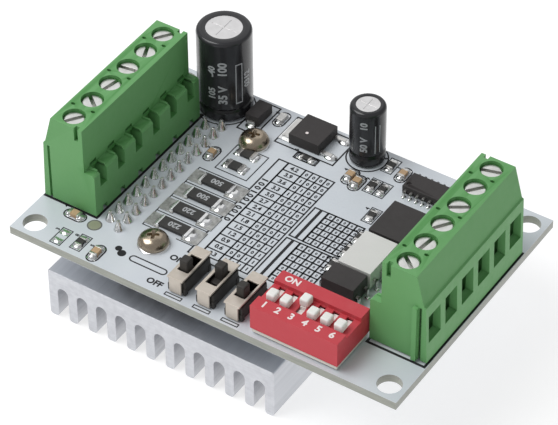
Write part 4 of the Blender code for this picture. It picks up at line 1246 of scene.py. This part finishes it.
def make_board_details():
    """The bare test pad and the dark ring round it."""
    pad = turned([(0, -0.01), (1.05, -0.01), (1.05, 0.03), (0.98, 0.05), (0, 0.05)])
    ring = turned([(0.98, -0.01), (1.3, -0.01), (1.3, 0.02), (0.98, 0.02), (0.98, -0.01)])
    parts = [placed(part, (-25.8, -17.2, 0)) for part in (pad, *painted(1, ring))]
    finish_piece("bare_test_pad", parts, [PAD_FINISH, RING_INK], even=False)


# Stage


def make_stage():
    shape = bmesh.new()
    bmesh.ops.create_grid(shape, x_segments=1, y_segments=1, size=1.6)
    floor = shape_object(shape, "floor")
    paper = bpy.data.materials.new("white_paper")
    paper.use_nodes = True
    shader = paper.node_tree.nodes["Principled BSDF"]
    set_inputs(shader, {"Base Color": (0.45, 0.45, 0.45, 1), "Roughness": 0.9,
                        "Emission Color": (1, 1, 1, 1), "Emission Strength": 0.66})
    floor.data.materials.append(paper)
    world = bpy.data.worlds.new("studio")
    world.use_nodes = True
    backdrop = world.node_tree.nodes["Background"]
    set_inputs(backdrop, {"Color": (0.97, 0.98, 1.0, 1), "Strength": 0.42})
    bpy.context.scene.world = world


def make_light(name, place, size, power):
    """A square soft light that looks at the object."""
    lamp = bpy.data.lights.new(name, "AREA")
    set_up(lamp, shape="SQUARE", size=size, energy=power)
    made = linked(name, lamp)
    made.location = place
    ahead = Vector((0, 0, 0.015)) - Vector(place)
    made.rotation_euler = ahead.to_track_quat("-Z", "Y").to_euler()


def make_lights():
    make_light("key_light", (-0.30, -0.20, 0.58), 0.45, 2.9)
    make_light("back_glow", (-0.28, 0.42, 0.47), 0.6, 0.56)


CAMERA_TURN = math.radians(33.32)
CAMERA_RISE = math.radians(42.58)
CAMERA_ROLL = math.radians(-0.345)
CAMERA_DISTANCE = 0.4944
CAMERA_LENS = 192.4


def make_camera():
    turn, rise = CAMERA_TURN, CAMERA_RISE
    level = math.cos(rise)
    back = Vector((math.sin(turn) * level, -math.cos(turn) * level, math.sin(rise)))
    side = Vector((math.cos(turn), math.sin(turn), 0))
    up = back.cross(side)
    lens = bpy.data.cameras.new("camera")
    set_up(lens, sensor_width=36.0, lens=CAMERA_LENS, clip_start=0.01)
    set_up(lens, shift_x=-0.0048, shift_y=0.0193)
    camera = linked("camera", lens)
    facing_back = Matrix((side, up, back)).transposed().to_4x4()
    target = Vector((0, 0, BOARD_TOP * MM))
    place = Matrix.Translation(target + back * CAMERA_DISTANCE)
    camera.matrix_world = place @ facing_back @ Matrix.Rotation(CAMERA_ROLL, 4, "Z")
    bpy.context.scene.camera = camera


def main():
    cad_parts["circuit_board"].data.materials.clear()
    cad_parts["circuit_board"].data.materials.append(BOARD_FINISH)
    make_heatsink()
    make_heatsink_screws()
    make_driver_chip()
    make_lead_solder()
    make_terminal_blocks()
    make_clamps()
    make_block_contacts()
    make_dip_switch()
    make_slide_switches()
    make_capacitors()
    make_optocouplers()
    make_logic_chip()
    make_regulator()
    make_diode()
    make_shunts()
    make_small_chips()
    make_printing()
    make_board_details()
    make_stage()
    make_lights()
    make_camera()
    bpy.context.scene.view_settings.view_transform = "Standard"


main()
